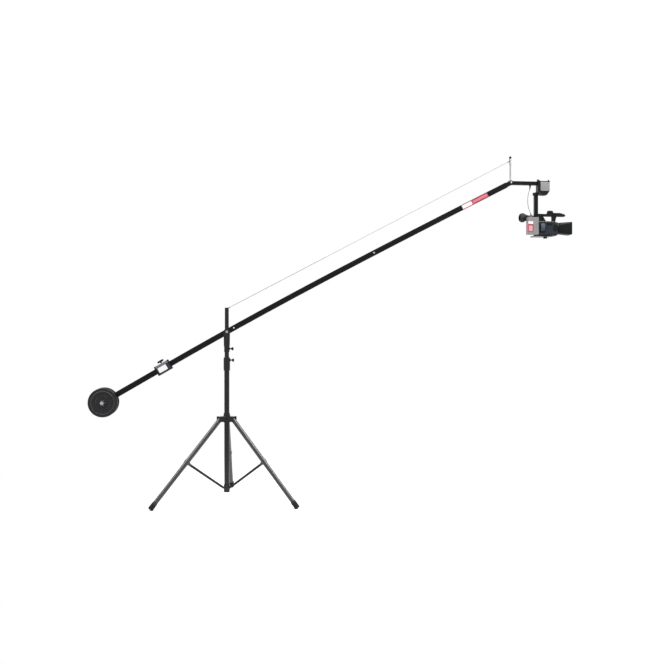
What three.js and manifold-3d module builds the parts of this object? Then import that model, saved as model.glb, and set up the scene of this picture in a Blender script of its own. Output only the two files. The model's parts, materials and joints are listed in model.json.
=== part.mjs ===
// A camera jib crane on a folding tripod, in millimetres.
// The origin is the middle of the column's flat underside. The boom rises towards +X and Z is up.

import * as THREE from 'three';
import { mergeVertices } from 'three/addons/utils/BufferGeometryUtils.js';
import Module from 'manifold-3d';

const wasm = await Module();
wasm.setup();

// Counts of sides and steps
const wideSides = 24;
const roundSides = 16;
const smallSides = 8;
const cornerSteps = 1;
const arcSteps = 4;
const legCount = 3;

// Clearances
const seatGap = 0.3;
const turnGap = 0.5;
const swingGap = 1.5;
const overrun = 5;

// Stand: column, its clamp and the inner tube that rises out of it
const columnDiameter = 37;
const columnWall = 2;
const columnBottom = 77;
const clampTop = 1040;
const clampHeight = 96;
const clampDiameter = 47;
const clampLap = 40;
const clampKnobDrop = 20;
const riserShow = 38;
const riserLength = 550;

// Stand: legs, braces and their collars
const legAzimuth = THREE.MathUtils.degToRad(87);
const legSplay = THREE.MathUtils.degToRad(42);
const legPivotRadius = 56;
const legPivotHeight = 592;
const legDiameter = 33;
const legWall = 1.6;
const legPinDiameter = 8;
const footWall = 2.6;
const footSole = 6;
const footHeight = 34;
const footFlatDepth = 4;
const braceJointAlongLeg = 380;
const braceJointOffset = 30;
const bracePivotRadius = 40;
const bracePivotHeight = 113;
const braceWidth = 17;
const braceThickness = 5;
const braceRivetDiameter = 6;
const legClipWall = 3;
const legClipLength = 26;
const earThickness = 4;
const earRadius = 14;
const earTop = 25;
const earBridge = 4;
const braceEarDrop = 13;
const collarBelowPivot = 20;
const collarAbovePivot = 48;
const collarWall = 6;
const braceCollarHeight = 48;
const braceCollarWall = 3;
const columnSole = 6;

// Knobs that clamp by a screw
const knobRadius = 12;
const knobLength = 17;
const knobStemRadius = 4;
const knobNeck = 7;
const bossRadius = 9;
const bossLength = 5;

// Yoke that carries the boom
const sleeveDiameter = 39;
const sleeveLength = 40;
const yokeKnobDrop = 16;
const yokeStop = 8;
const yokeDrop = 105;
const yokeBlockHeight = 18;
const cheekThickness = 5;
const cheekHalfWidth = 23;
const cheekFootHalfWidth = 21;
const cheekEarHalfWidth = 14;
const cheekEarTop = 112;
const pivotBoltDiameter = 12;
const pivotHeadDiameter = 24;
const pivotHeadHeight = 9;

// Masts and levelling wire
const mastHeight = 166;
const mastWall = 2.5;
const mastBottomAbovePivot = 66;
const mastTopAboveWire = 8;
const wireEyeThickness = 6;
const wireEyeRadius = 7;
const wirePinDiameter = 6;
const wireThickDiameter = 2.8;
const wireThinDiameter = 2;
const wireThickLength_share = 0.34;

// Boom
const boomSize = 40;
const boomWall = 2.5;
const boomCorner = 3.5;
const boomSlope = THREE.MathUtils.degToRad(29.32);
const boomFrontLength = 2380;
const boomRearLength = 1000;
const boomOverhang = 22;
const tipDroop = 60;
const rearJoint = 100;
const frontJoint = 1174;
const jointBoltOffset = 43;
const jointSleeveHalf = 62;
const jointBoltDiameter = 8;
const jointHeadDiameter = 14;
const jointHeadHeight = 4;
const boomSteps = 5;

// Counterweights
const barDiameter = 24;
const barShoulderDiameter = 46;
const barShoulderWidth = 7;
const barHalfLength = 84;
const plateDiameter = 206;
const plateThickness = 28;
const plateWeb = 17;
const plateRim_share = 0.77;
const plateHubDiameter = 54;
const starNutDiameter = 50;
const starNutThickness = 18;
const starLobes = 6;

// Controller on the rear of the boom
const controllerAlong = 512;
const controllerLength = 113;
const controllerHeight = 73;
const controllerDepth = 42;
const controllerEndPlate = 9;
const controllerBackPlate = 4;
const clampBlockLength = 26;
const clampBlockWall = 7;
const teeHeight = 51;
const teeLength = 49;
const teeDiameter = 13;

// Tip fork, level arm and front mast
const armSize = 28;
const armWall = 2.5;
const armCorner = 3;
const armReach = 197.5;
const armTail = 14;
const forkPlate = 4;
const forkFlange = 6;
const forkFlangeSetback = 38;
const forkPlug = 45;
const forkEyeRadius = 17;
const tipBoltDiameter = 10;
const frontMastDiameter = 13;
const frontMastFoot = 7;
const frontMastFootDiameter = 26;
const frontHeadLength = 44;
const frontHeadWidth = 17;
const frontHeadDepth = 12;
const frontKnobDiameter = 16;
const frontKnobHeight = 15;
const glandBack = 45;
const glandRadius = 6;
const glandLength = 9;

// Pan unit, with its places along X ahead of the post's axis
const bracketBack = 8.6;
const bracketFront = 27.4;
const bracketTopRise = 20;
const bracketDrop = 70;
const bracketSideDrop = 56;
const bracketHalfWidth = 24;
const bracketPlate = 4;
const footDiscRadius = 23.5;
const footDiscThickness = 8;
const thumbKnobRadius = 8;
const thumbKnobHeight = 11;
const topBarFront = 110;
const topBarRise = 15.5;
const topBarThickness = 4;
const topBarHalfWidth = 11;
const topScrewPlace = 98;
const topScrewRadius = 5.5;
const panBoxLength = 71;
const panBoxHeight = 65;
const panBoxRise = 8;
const panBoxHalfWidth = 27;
const shellWall = 2.5;
const gearCoverTopBack = 24.5;
const gearCoverTopFront = 98;
const gearCoverBottomBack = 38;
const gearCoverBottomFront = 78;
const gearCoverHeight = 30;
const panMotorRadius = 18;
const panMotorLength = 48;

// Drop post and tilt unit
const postSize = 28;
const postFlangeThickness = 11;
const postShaftRadius = 6;
const postRingRadius = 8;
const postRingHeight = 4;
const postBottomDrop = 254;
const tiltBoxBack = 68;
const tiltBoxFront = 14;
const tiltBoxHeight = 129;
const tiltBoxNear = 24;
const tiltBoxFar = 17;
const tiltCoverThickness = 3;
const tiltAxisDrop = 342;
const tiltAxisBack = 8;
const tiltShaftRadius = 7;
const tiltWheelRadius = 17;
const tiltWheelThickness = 9;
const tiltMotorRadius = 13;
const tiltMotorLength = 44;
const wormRadius = 6;
const inletBack = 37;
const inletRadius = 6;
const inletHeight = 8;
const headCableDiameter = 5;
const cableRoute = [
  [-58, -82],
  [-63, -124],
  [-57, -180],
];
const cableSteps = 20;

// Camera plate and screw
const plateSideThickness = 4;
const plateSideHalfWidth = 22;
const platformThickness = 7;
const platformBack = 5;
const platformFront = 142;
const platformRoot = 64;
const platformSlotBack = 90;
const platformSlotFront = 134;
const screwPlace = 104;
const screwRadius = 3;
const screwKnobRadius = 13;
const screwKnobHeight = 10;
const screwDepth = 12;

// Camera
const cameraNear = 38;
const cameraWidth = 90;
const cameraBack = 30;
const cameraFront = 190;
const cameraTopDrop = 274;
const cameraBottomDrop = 385;
const cameraRound = 12;
const handleTopDrop = 216;
const handleThickness = 19;
const handleBack = 45;
const handleFront = 259;
const handleWidth = 22;
const handleFootBack = 68;
const handleFootLength = 40;
const handlePostBack = 155;
const handlePostFront = 180;
const shoeBack = 117;
const shoeFront = 165;
const shoeRise = 24;
const shelfFront = 219;
const shelfRise = 9;
const handleGapBack = 85;
const lensAxisDrop = 325;
const barrelRadius = 36;
const barrelFront = 243;
const barrelRingRadius = 41;
const barrelRingLength = 5;
const barrelGlassDepth = 6;
const hoodBack = 196;
const hoodFront = 299;
const hoodHeight = 97;
const hoodWidth = 98;
const hoodBackHeight = 84;
const hoodBackWidth = 88;
const hoodWall = 3;
const finderDrop = 246.5;
const finderRadius = 19;
const finderPivot = -2;
const finderFrontEnd = 15;
const finderTube = 36;
const eyecupEnd = 98;
const eyecupRadius = 35;
const eyecupBore = 20;
const eyecupDepth = 30;
const finderEar = 4;
const strapBack = 52;
const strapFront = 84;
const strapTopDrop = 290;
const strapBottomDrop = 352;
const strapThickness = 3;
const strapBulge = 8;

// Materials
const finish = (color, roughness, metalness) =>
  new THREE.MeshStandardMaterial({ color, roughness, metalness });
const blackPaint = finish(0x1b1b1d, 0.45, 0.4);
const blackPlastic = finish(0x202124, 0.6, 0);
const blackRubber = finish(0x161616, 0.85, 0);
const brightSteel = finish(0xc6c8ca, 0.25, 1);
const castIron = finish(0x232426, 0.55, 0.6);
const greyAluminium = finish(0x8d8a94, 0.4, 0.8);
const silverAluminium = finish(0xa9a8a6, 0.35, 0.9);
const greyCable = finish(0x9c9ca0, 0.6, 0);
const cameraGrey = finish(0x2c2e33, 0.5, 0.1);
const strapGrey = finish(0x5d6472, 0.8, 0);

// Solids from geometries, and back

function solid(geometry) {
  const bare = geometry.clone();
  bare.deleteAttribute('normal');
  bare.deleteAttribute('uv');
  const whole = mergeVertices(bare, seatGap / 1000);
  const places = whole.attributes.position;
  const order = Array.from(whole.index.array);
  const corner = [0, 1, 2].map(() => new THREE.Vector3());
  let volume = 0;
  for (let i = 0; i < order.length; i += 3) {
    corner.forEach((point, k) => point.fromBufferAttribute(places, order[i + k]));
    volume += corner[0].dot(corner[1].clone().cross(corner[2]));
  }
  if (volume < 0) order.reverse();
  return new wasm.Manifold(
    new wasm.Mesh({
      numProp: 3,
      vertProperties: new Float32Array(places.array),
      triVerts: new Uint32Array(order),
    }),
  );
}

function surface(body) {
  const mesh = body.getMesh();
  const geometry = new THREE.BufferGeometry();
  geometry.setAttribute('position', new THREE.BufferAttribute(mesh.vertProperties, 3));
  geometry.setIndex(new THREE.BufferAttribute(mesh.triVerts, 1));
  geometry.computeVertexNormals();
  return geometry;
}

const join = (...parts) => surface(parts.map(solid).reduce((whole, part) => whole.add(part)));
const cut = (stock, ...tools) =>
  surface(tools.map(solid).reduce((whole, tool) => whole.subtract(tool), solid(stock)));

// Basic forms

const block = (x0, x1, y0, y1, z0, z1) =>
  new THREE.BoxGeometry(x1 - x0, y1 - y0, z1 - z0)
    .translate((x0 + x1) / 2, (y0 + y1) / 2, (z0 + z1) / 2);

const rodZ = (radius, z0, z1, sides = roundSides) =>
  new THREE.CylinderGeometry(radius, radius, z1 - z0, sides)
    .rotateX(Math.PI / 2)
    .translate(0, 0, (z0 + z1) / 2);

const rodY = (radius, y0, y1, sides = roundSides) =>
  new THREE.CylinderGeometry(radius, radius, y1 - y0, sides).translate(0, (y0 + y1) / 2, 0);

const rodX = (radius, x0, x1, sides = roundSides) =>
  new THREE.CylinderGeometry(radius, radius, x1 - x0, sides)
    .rotateZ(Math.PI / 2)
    .translate((x0 + x1) / 2, 0, 0);

const turned = (profile, sides = roundSides) =>
  new THREE.LatheGeometry(profile.map(([r, h]) => new THREE.Vector2(r, h)), sides);
const turnedZ = (profile, sides) => turned(profile, sides).rotateX(Math.PI / 2);
const turnedX = (profile, sides) => turned(profile, sides).rotateZ(-Math.PI / 2);

function roundedBox(width, height, radius) {
  const shape = new THREE.Shape();
  const w = width / 2 - radius;
  const h = height / 2 - radius;
  shape.absarc(w, h, radius, 0, Math.PI / 2);
  shape.absarc(-w, h, radius, Math.PI / 2, Math.PI);
  shape.absarc(-w, -h, radius, Math.PI, Math.PI * 1.5);
  shape.absarc(w, -h, radius, Math.PI * 1.5, Math.PI * 2);
  shape.closePath();
  return shape;
}

const extruded = (shape, depth, options = {}) =>
  new THREE.ExtrudeGeometry(shape, {
    depth,
    bevelEnabled: false,
    curveSegments: arcSteps,
    ...options,
  });

// A plate whose outline lies in the XZ plane, from y0 to y1
const plateY = (shape, y0, y1, options) =>
  extruded(shape, y1 - y0, options).rotateX(Math.PI / 2).translate(0, y1, 0);

// A square tube along X, from x0 to x1
function squareTube(size, wall, radius, x0, x1, steps = 1) {
  const section = roundedBox(size, size, radius);
  const inner = size - 2 * wall;
  section.holes.push(roundedBox(inner, inner, Math.max(radius - wall, wall / 2)));
  return extruded(section, x1 - x0, { steps, curveSegments: cornerSteps })
    .rotateY(Math.PI / 2)
    .translate(x0, 0, 0);
}

// A strip with round ends, from the origin down to -length
function link(length, radius) {
  const shape = new THREE.Shape();
  shape.absarc(0, 0, radius, 0, Math.PI);
  shape.absarc(0, -length, radius, Math.PI, Math.PI * 2);
  shape.closePath();
  return shape;
}

// The scene graph

const crane = new THREE.Group();

function group(parent, x = 0, y = 0, z = 0, pitch = 0) {
  const node = new THREE.Group();
  node.position.set(x, y, z);
  node.rotation.y = pitch;
  parent.add(node);
  return node;
}

function piece(name, geometry, material, parent) {
  const mesh = new THREE.Mesh(geometry, material);
  mesh.name = name;
  parent.add(mesh);
  return mesh;
}

// A lobed knob with its screw along +X. The screw's tip is at the origin
// and the knob's inner face is one neck beyond the boss.
function screwKnob(reach) {
  const lobes = new THREE.Shape();
  const steps = roundSides;
  for (let i = 0; i < steps; i += 1) {
    const turn = (i / steps) * Math.PI * 2;
    const radius = knobRadius * (1 - 0.08 * (1 - Math.cos(turn * 6)));
    const x = radius * Math.cos(turn);
    const y = radius * Math.sin(turn);
    if (i === 0) lobes.moveTo(x, y);
    else lobes.lineTo(x, y);
  }
  lobes.closePath();
  const head = extruded(lobes, knobLength).rotateY(Math.PI / 2).translate(reach, 0, 0);
  return join(rodX(knobStemRadius, 0, reach + overrun, smallSides), head);
}

// A bolt along Y through a grip of the given half width, with its head at -Y
function crossBolt(radius, grip, headRadius, headHeight) {
  const end = grip + seatGap;
  return turned(
    [
      [0, -end - headHeight],
      [headRadius * 0.8, -end - headHeight],
      [headRadius, -end - headHeight * 0.7],
      [headRadius, -end],
      [radius, -end],
      [radius, end],
      [headRadius * 0.9, end],
      [headRadius * 0.9, end + headHeight * 0.8],
      [0, end + headHeight * 0.8],
    ],
    smallSides,
  );
}

// Stand

const clampBottom = clampTop - clampHeight;
const clampKnobHeight = clampTop - clampKnobDrop;
const sleeveBottom = clampTop + riserShow;
const yokeBottom = sleeveBottom + sleeveLength;
const yokeKnobHeight = yokeBottom - yokeKnobDrop;
const riserTop = yokeBottom - yokeStop;
const riserBottom = riserTop - riserLength;
const pivotHeight = yokeBottom + yokeDrop;
const columnRadius = columnDiameter / 2;
const riserRadius = columnRadius - columnWall - turnGap;
const riserWall = columnWall;
const columnTop = clampBottom + clampLap;
const stemHoleRadius = knobStemRadius + turnGap;

piece(
  'column_tube',
  turnedZ([
    [columnRadius - columnWall, columnBottom],
    [columnRadius, columnBottom],
    [columnRadius, columnTop],
    [columnRadius - columnWall, columnTop],
    [columnRadius - columnWall, columnBottom],
  ]),
  blackPaint,
  crane,
);

// Two ears beside the middle plane of a leg, with the eye at (x, z). The root at the sleeve lies lower
// by `drop`. With a `shoulder` the ears go on above the eye to a square top at that height.
function earPair(sleeveRadius, x, z, halfGap, thickness, radius, rootHalf, drop = 0, shoulder = 0) {
  const root = 0.9 * Math.sqrt(sleeveRadius ** 2 - (halfGap + thickness) ** 2);
  const outline = new THREE.Shape();
  outline.moveTo(root, z - drop - rootHalf);
  outline.lineTo(x, z - radius);
  if (shoulder > 0) {
    outline.absarc(x, z, radius, -Math.PI / 2, 0);
    outline.lineTo(x + radius, z + shoulder);
    outline.lineTo(root, z + shoulder);
  } else {
    outline.absarc(x, z, radius, -Math.PI / 2, Math.PI / 2);
    outline.lineTo(root, z - drop + rootHalf);
  }
  outline.closePath();
  return [
    plateY(outline, halfGap, halfGap + thickness),
    plateY(outline, -halfGap - thickness, -halfGap),
  ];
}

const atLegs = (make) =>
  Array.from({ length: legCount }, (_, i) => legAzimuth + (i * Math.PI * 2) / legCount)
    .flatMap((turn) => make().map((geometry) => geometry.rotateZ(turn)));

const legRadius = legDiameter / 2;
const legEarGap = legRadius + swingGap / 2;
const braceEarGap = braceThickness / 2 + swingGap / 2;
const braceRadius = braceWidth / 2;

// The lower collar closes the column's foot and holds the braces' inner ends
const braceCollarRadius = columnRadius + seatGap + braceCollarWall;
const braceCollarBottom = columnBottom - seatGap - columnSole;
piece(
  'brace_collar',
  cut(
    join(
      rodZ(braceCollarRadius, braceCollarBottom, columnBottom + braceCollarHeight),
      ...atLegs(() => [
        ...earPair(
          braceCollarRadius,
          bracePivotRadius,
          bracePivotHeight,
          braceEarGap,
          legClipWall,
          braceRadius,
          braceRadius,
          braceEarDrop,
        ),
        rodY(braceRivetDiameter, braceEarGap + legClipWall * 0.5, braceEarGap + legClipWall * 1.6,
          smallSides).translate(bracePivotRadius, 0, bracePivotHeight),
        rodY(braceRivetDiameter, -braceEarGap - legClipWall * 1.6, -braceEarGap - legClipWall * 0.5,
          smallSides).translate(bracePivotRadius, 0, bracePivotHeight),
      ]),
    ),
    rodZ(columnRadius + seatGap, columnBottom - seatGap, columnBottom + braceCollarHeight + overrun),
  ),
  blackPaint,
  crane,
);

// The clamp seats on the column's top end and grips the riser by a screw knob
const clampRadius = clampDiameter / 2;
const clampBore = riserRadius + turnGap / 2;
piece(
  'column_clamp',
  cut(
    join(
      turnedZ([
        [0, clampBottom],
        [clampRadius * 0.94, clampBottom],
        [clampRadius, clampBottom + bossRadius],
        [clampRadius, clampTop - bossRadius],
        [clampRadius * 0.9, clampTop],
        [0, clampTop],
      ]),
      rodX(bossRadius, riserRadius, clampRadius + bossLength).translate(0, 0, clampKnobHeight),
    ),
    rodZ(columnRadius + seatGap, clampBottom - overrun, columnTop + seatGap),
    rodZ(clampBore, clampBottom, clampTop + overrun),
    rodX(stemHoleRadius, 0, clampRadius + bossLength + overrun, smallSides)
      .translate(0, 0, clampKnobHeight),
  ),
  blackPaint,
  crane,
);
const clampStem = clampRadius + bossLength + knobNeck - riserRadius;
piece(
  'clamp_knob',
  screwKnob(clampStem),
  blackPlastic,
  group(crane, riserRadius + seatGap, 0, clampKnobHeight),
);

// Leg collar with its three forks
const collarBottom = legPivotHeight - collarBelowPivot;
const collarTop = legPivotHeight + collarAbovePivot;
const collarBore = columnRadius + turnGap;
const collarRadius = collarBore + collarWall;
const collarKnobAzimuth = legAzimuth + Math.PI;
const collarKnobHeight = collarBottom + bossRadius * 2.4;
const collarBoss = rodX(bossRadius, columnRadius, collarRadius + bossLength);
const collarHole = rodX(stemHoleRadius, 0, collarRadius + bossLength + overrun, smallSides);
piece(
  'leg_collar',
  cut(
    join(
      turnedZ([
        [0, collarBottom],
        [collarRadius, collarBottom],
        [collarRadius, legPivotHeight + earTop],
        [collarRadius * 0.86, collarTop],
        [0, collarTop],
      ]),
      ...atLegs(() => [
        ...earPair(
          collarRadius,
          legPivotRadius,
          legPivotHeight,
          legEarGap,
          earThickness,
          earRadius,
          earRadius,
          0,
          earTop,
        ),
        block(
          collarRadius * 0.9,
          legPivotRadius + earRadius * 0.8,
          -legEarGap - earThickness / 2,
          legEarGap + earThickness / 2,
          legPivotHeight + earTop - earBridge,
          legPivotHeight + earTop,
        ),
        rodY(legPinDiameter / 2, -legEarGap - earThickness * 1.5, legEarGap + earThickness * 1.5,
          smallSides).translate(legPivotRadius, 0, legPivotHeight),
      ]),
      collarBoss.rotateZ(collarKnobAzimuth).translate(0, 0, collarKnobHeight),
    ),
    rodZ(collarBore, collarBottom - overrun, collarTop + overrun),
    collarHole.rotateZ(collarKnobAzimuth).translate(0, 0, collarKnobHeight),
  ),
  blackPaint,
  crane,
);
const collarKnobHolder = group(crane);
collarKnobHolder.rotation.z = collarKnobAzimuth;
piece(
  'collar_lock_knob',
  screwKnob(collarRadius + bossLength + knobNeck - columnRadius),
  blackPlastic,
  group(collarKnobHolder, columnRadius + seatGap, 0, collarKnobHeight),
);

// Legs. Each is drawn with its pivot at the origin and its tube along -Z, and +X is outwards.
const footRadius = legRadius + footWall;
const legLength =
  (legPivotHeight + footFlatDepth - footRadius * Math.sin(legSplay)) / Math.cos(legSplay) -
  footSole;

function legTube() {
  const profile = [[0, -legRadius * 2], [legRadius - legWall, -legRadius * 2]];
  profile.push([legRadius - legWall, -legLength], [legRadius, -legLength], [legRadius, 0]);
  for (let i = 1; i < arcSteps; i += 1) {
    const turn = (i / arcSteps) * (Math.PI / 2);
    profile.push([legRadius * Math.cos(turn), legRadius * Math.sin(turn)]);
  }
  profile.push([0, legRadius]);
  const clip = rodZ(legRadius + legClipWall, -legClipLength / 2, legClipLength / 2);
  const ears = earPair(
    legRadius,
    braceJointOffset,
    0,
    braceEarGap,
    legClipWall,
    braceRadius * 0.9,
    legClipLength / 2,
  ).map((ear) => ear.rotateZ(Math.PI));
  const rivetHalf = braceEarGap + legClipWall * 1.5;
  const rivet = rodY(braceRivetDiameter / 2, -rivetHalf, rivetHalf, smallSides);
  return cut(
    join(
      turnedZ(profile),
      clip.translate(0, 0, -braceJointAlongLeg),
      ...ears.map((ear) => ear.translate(0, 0, -braceJointAlongLeg)),
      rivet.translate(-braceJointOffset, 0, -braceJointAlongLeg),
    ),
    rodZ(legRadius - legWall, -legLength - overrun, -legRadius * 2),
    rodY(legPinDiameter / 2 + turnGap, -legDiameter, legDiameter, smallSides),
  );
}

function footCup(toWorld) {
  const top = -legLength + footHeight;
  const cup = turnedZ([
    [0, -legLength - footSole],
    [footRadius, -legLength - footSole],
    [footRadius, top - footWall],
    [footRadius - footWall / 2, top],
    [0, top],
  ]);
  const socket = rodZ(legRadius + seatGap, -legLength - seatGap, top + overrun);
  const plug = rodZ(legRadius - legWall - seatGap, -legLength - footSole / 2, top);
  const floor = block(0, legLength, -legLength, legLength, -legLength, 0)
    .applyMatrix4(toWorld.clone().invert());
  return cut(join(cut(cup, socket), plug), floor);
}

const braceJointRadius =
  legPivotRadius +
  braceJointAlongLeg * Math.sin(legSplay) -
  braceJointOffset * Math.cos(legSplay);
const braceJointHeight =
  legPivotHeight -
  braceJointAlongLeg * Math.cos(legSplay) -
  braceJointOffset * Math.sin(legSplay);
const braceRun = braceJointRadius - bracePivotRadius;
const braceRise = braceJointHeight - bracePivotHeight;
const braceLength = Math.hypot(braceRun, braceRise);
const braceLean = Math.atan2(braceRun, braceRise);

for (let i = 0; i < legCount; i += 1) {
  const radial = new THREE.Group();
  radial.rotation.z = legAzimuth + (i * Math.PI * 2) / legCount;
  crane.add(radial);
  const leg = group(radial, legPivotRadius, 0, legPivotHeight, -legSplay);
  leg.updateMatrix();
  piece(`leg_${i + 1}`, legTube(), blackPaint, leg);
  piece(`leg_${i + 1}_foot`, footCup(leg.matrix), blackRubber, leg);
  const brace = group(radial, braceJointRadius, 0, braceJointHeight, braceLean);
  piece(
    `leg_${i + 1}_brace`,
    cut(
      plateY(link(braceLength, braceRadius), -braceThickness / 2, braceThickness / 2),
      rodY(braceRivetDiameter / 2 + turnGap, -braceThickness, braceThickness, smallSides),
      rodY(braceRivetDiameter / 2 + turnGap, -braceThickness, braceThickness, smallSides)
        .translate(0, 0, -braceLength),
    ),
    blackPaint,
    brace,
  );
}

// Riser
piece(
  'riser_tube',
  turnedZ([
    [riserRadius - riserWall, riserBottom],
    [riserRadius, riserBottom],
    [riserRadius, riserTop],
    [riserRadius - riserWall, riserTop],
    [riserRadius - riserWall, riserBottom],
  ]),
  blackPaint,
  crane,
);

// Yoke: a sleeve on the riser's top, a block and two cheeks
const cheekInner = boomSize / 2 + swingGap;
const cheekOuter = cheekInner + cheekThickness;

function cheekOutline() {
  const shoulder = Math.acos(cheekEarHalfWidth / cheekHalfWidth);
  const earCentre = cheekEarTop - cheekEarHalfWidth;
  const outline = new THREE.Shape();
  outline.moveTo(-cheekFootHalfWidth, yokeBottom - pivotHeight);
  outline.lineTo(cheekFootHalfWidth, yokeBottom - pivotHeight);
  outline.absarc(0, 0, cheekHalfWidth, 0, shoulder);
  outline.absarc(0, earCentre, cheekEarHalfWidth, 0, Math.PI);
  outline.absarc(0, 0, cheekHalfWidth, Math.PI - shoulder, Math.PI);
  outline.closePath();
  return outline;
}

const yokeTop = yokeBottom - pivotHeight + yokeBlockHeight;
const sleeveRadius = sleeveDiameter / 2;
const yokeKnobBelow = yokeKnobHeight - pivotHeight;
const sleeveBore = riserRadius + turnGap;
const yoke = group(crane, 0, 0, pivotHeight);
piece(
  'yoke',
  cut(
    join(
      plateY(cheekOutline(), cheekInner, cheekOuter, { curveSegments: smallSides }),
      plateY(cheekOutline(), -cheekOuter, -cheekInner, { curveSegments: smallSides }),
      block(-cheekFootHalfWidth, cheekFootHalfWidth, -cheekOuter, cheekOuter,
        yokeBottom - pivotHeight, yokeTop),
      rodZ(sleeveRadius, sleeveBottom - pivotHeight, yokeTop),
      rodX(bossRadius, riserRadius, sleeveRadius + bossLength).translate(0, 0, yokeKnobBelow),
    ),
    rodZ(sleeveBore, sleeveBottom - pivotHeight - overrun, riserTop - pivotHeight + seatGap),
    rodX(stemHoleRadius, 0, sleeveRadius + bossLength + overrun, smallSides)
      .translate(0, 0, yokeKnobBelow),
    rodY(pivotBoltDiameter / 2 + seatGap, -cheekOuter - overrun, cheekOuter + overrun),
  ),
  blackPaint,
  yoke,
);
piece(
  'yoke_lock_knob',
  screwKnob(sleeveRadius + bossLength + knobNeck - riserRadius),
  blackPlastic,
  group(yoke, riserRadius + seatGap, 0, yokeKnobBelow),
);
piece(
  'pivot_bolt',
  crossBolt(pivotBoltDiameter / 2, cheekOuter, pivotHeadDiameter / 2, pivotHeadHeight),
  brightSteel,
  yoke,
);

// Rear mast: a flat-sided tube between the cheeks' ears, slotted for the wire's eye
const mastHalfWidth = cheekEarHalfWidth;
const mastHalfDepth = cheekInner - seatGap;
const mastTop = mastHeight + mastTopAboveWire;
const wireSlot = wireEyeThickness / 2 + swingGap / 2;
piece(
  'rear_mast',
  join(
    cut(
      block(-mastHalfWidth, mastHalfWidth, -mastHalfDepth, mastHalfDepth,
        mastBottomAbovePivot, mastTop),
      block(-mastHalfWidth + mastWall, mastHalfWidth - mastWall, -mastHalfDepth + mastWall,
        mastHalfDepth - mastWall, mastBottomAbovePivot - overrun, mastTop + overrun),
      block(-mastHalfWidth - overrun, mastHalfWidth + overrun, -wireSlot, wireSlot,
        mastHeight - mastHalfWidth * 1.6, mastTop + overrun),
    ),
    turned(
      [
        [0, -mastHalfDepth + mastWall / 2],
        [wirePinDiameter * 0.8, -mastHalfDepth + mastWall / 2],
        [wirePinDiameter * 0.8, -wireSlot],
        [wirePinDiameter / 2, -wireSlot],
        [wirePinDiameter / 2, wireSlot],
        [wirePinDiameter * 0.8, wireSlot],
        [wirePinDiameter * 0.8, mastHalfDepth - mastWall / 2],
        [0, mastHalfDepth - mastWall / 2],
      ],
      smallSides,
    ).translate(0, 0, mastHeight),
  ),
  blackPaint,
  yoke,
);

// Boom. It bows under its load as a beam does that is held at the pivot and loaded at its ends.
const bowRate = tipDroop / boomFrontLength ** 2;

function bow(s) {
  const reach = s > 0 ? boomFrontLength : boomRearLength;
  const t = Math.min(Math.abs(s), reach);
  const past = Math.abs(s) - t;
  return -bowRate * (t * t * (3 - t / reach) * 0.5 + past * reach * 1.5);
}

function bowSlope(s) {
  const reach = s > 0 ? boomFrontLength : boomRearLength;
  const t = Math.min(Math.abs(s), reach);
  return -Math.sign(s) * bowRate * (3 * t - (1.5 * t * t) / reach);
}

function bowed(geometry) {
  const places = geometry.attributes.position;
  for (let i = 0; i < places.count; i += 1) {
    const s = places.getX(i);
    const slope = bowSlope(s);
    const h = places.getZ(i);
    places.setX(i, s - h * slope);
    places.setZ(i, bow(s) + h);
  }
  return geometry;
}

const boom = group(crane, 0, 0, pivotHeight, -boomSlope);
const onBoom = (s) => group(boom, s, 0, bow(s), -Math.atan(bowSlope(s)));
const placedOnBoom = (geometry, s) =>
  geometry.rotateY(-Math.atan(bowSlope(s))).translate(s, 0, bow(s));

const crossHole = (radius, s) =>
  placedOnBoom(rodY(radius, -boomSize, boomSize), s);
const bush = (radius, s) =>
  placedOnBoom(rodY(radius, boomWall / 2 - boomSize / 2, boomSize / 2 - boomWall / 2), s);
const boomTube = (s0, s1, size, steps = boomSteps) =>
  bowed(squareTube(size, boomWall, boomCorner * (size / boomSize), s0, s1, steps));

const jointHole = jointBoltDiameter / 2 + seatGap;
const rearBolt = rearJoint - jointBoltOffset;
const frontBolt = frontJoint + jointBoltOffset;
const tipTubeEnd = boomFrontLength - forkFlangeSetback;

piece(
  'boom_tube_rear',
  cut(
    join(
      boomTube(-boomRearLength - boomOverhang, rearJoint, boomSize),
      bush(pivotBoltDiameter * 0.85, 0),
      bush(barDiameter * 0.65, -boomRearLength),
    ),
    crossHole(pivotBoltDiameter / 2 + turnGap, 0),
    crossHole(barDiameter / 2 + seatGap, -boomRearLength),
    crossHole(jointHole, rearBolt),
  ),
  blackPaint,
  boom,
);
piece(
  'boom_tube_middle',
  boomTube(rearJoint + seatGap, frontJoint, boomSize),
  blackPaint,
  boom,
);
piece(
  'boom_tube_front',
  cut(boomTube(frontJoint + seatGap, tipTubeEnd, boomSize), crossHole(jointHole, frontBolt)),
  blackPaint,
  boom,
);

const sleeveSize = boomSize - 2 * boomWall - 2 * seatGap;
[['rear', rearJoint, rearBolt], ['front', frontJoint, frontBolt]].forEach(([end, joint, bolt]) => {
  piece(
    `boom_sleeve_${end}`,
    cut(
      boomTube(joint - jointSleeveHalf, joint + jointSleeveHalf, sleeveSize, 1),
      crossHole(jointHole, bolt),
    ),
    greyAluminium,
    boom,
  );
  piece(
    `boom_bolt_${end}`,
    crossBolt(jointBoltDiameter / 2, boomSize / 2, jointHeadDiameter / 2, jointHeadHeight),
    brightSteel,
    onBoom(bolt),
  );
});

// Counterweights on a bar across the rear end
const weights = onBoom(-boomRearLength);
const shoulderIn = boomSize / 2 + seatGap;
const plateIn = shoulderIn + barShoulderWidth + seatGap;
const plateOut = plateIn + plateThickness;
piece(
  'weight_bar',
  join(
    rodY(barDiameter / 2, -barHalfLength, barHalfLength),
    rodY(barShoulderDiameter / 2, shoulderIn, shoulderIn + barShoulderWidth),
    rodY(barShoulderDiameter / 2, -shoulderIn - barShoulderWidth, -shoulderIn),
  ),
  brightSteel,
  weights,
);

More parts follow.
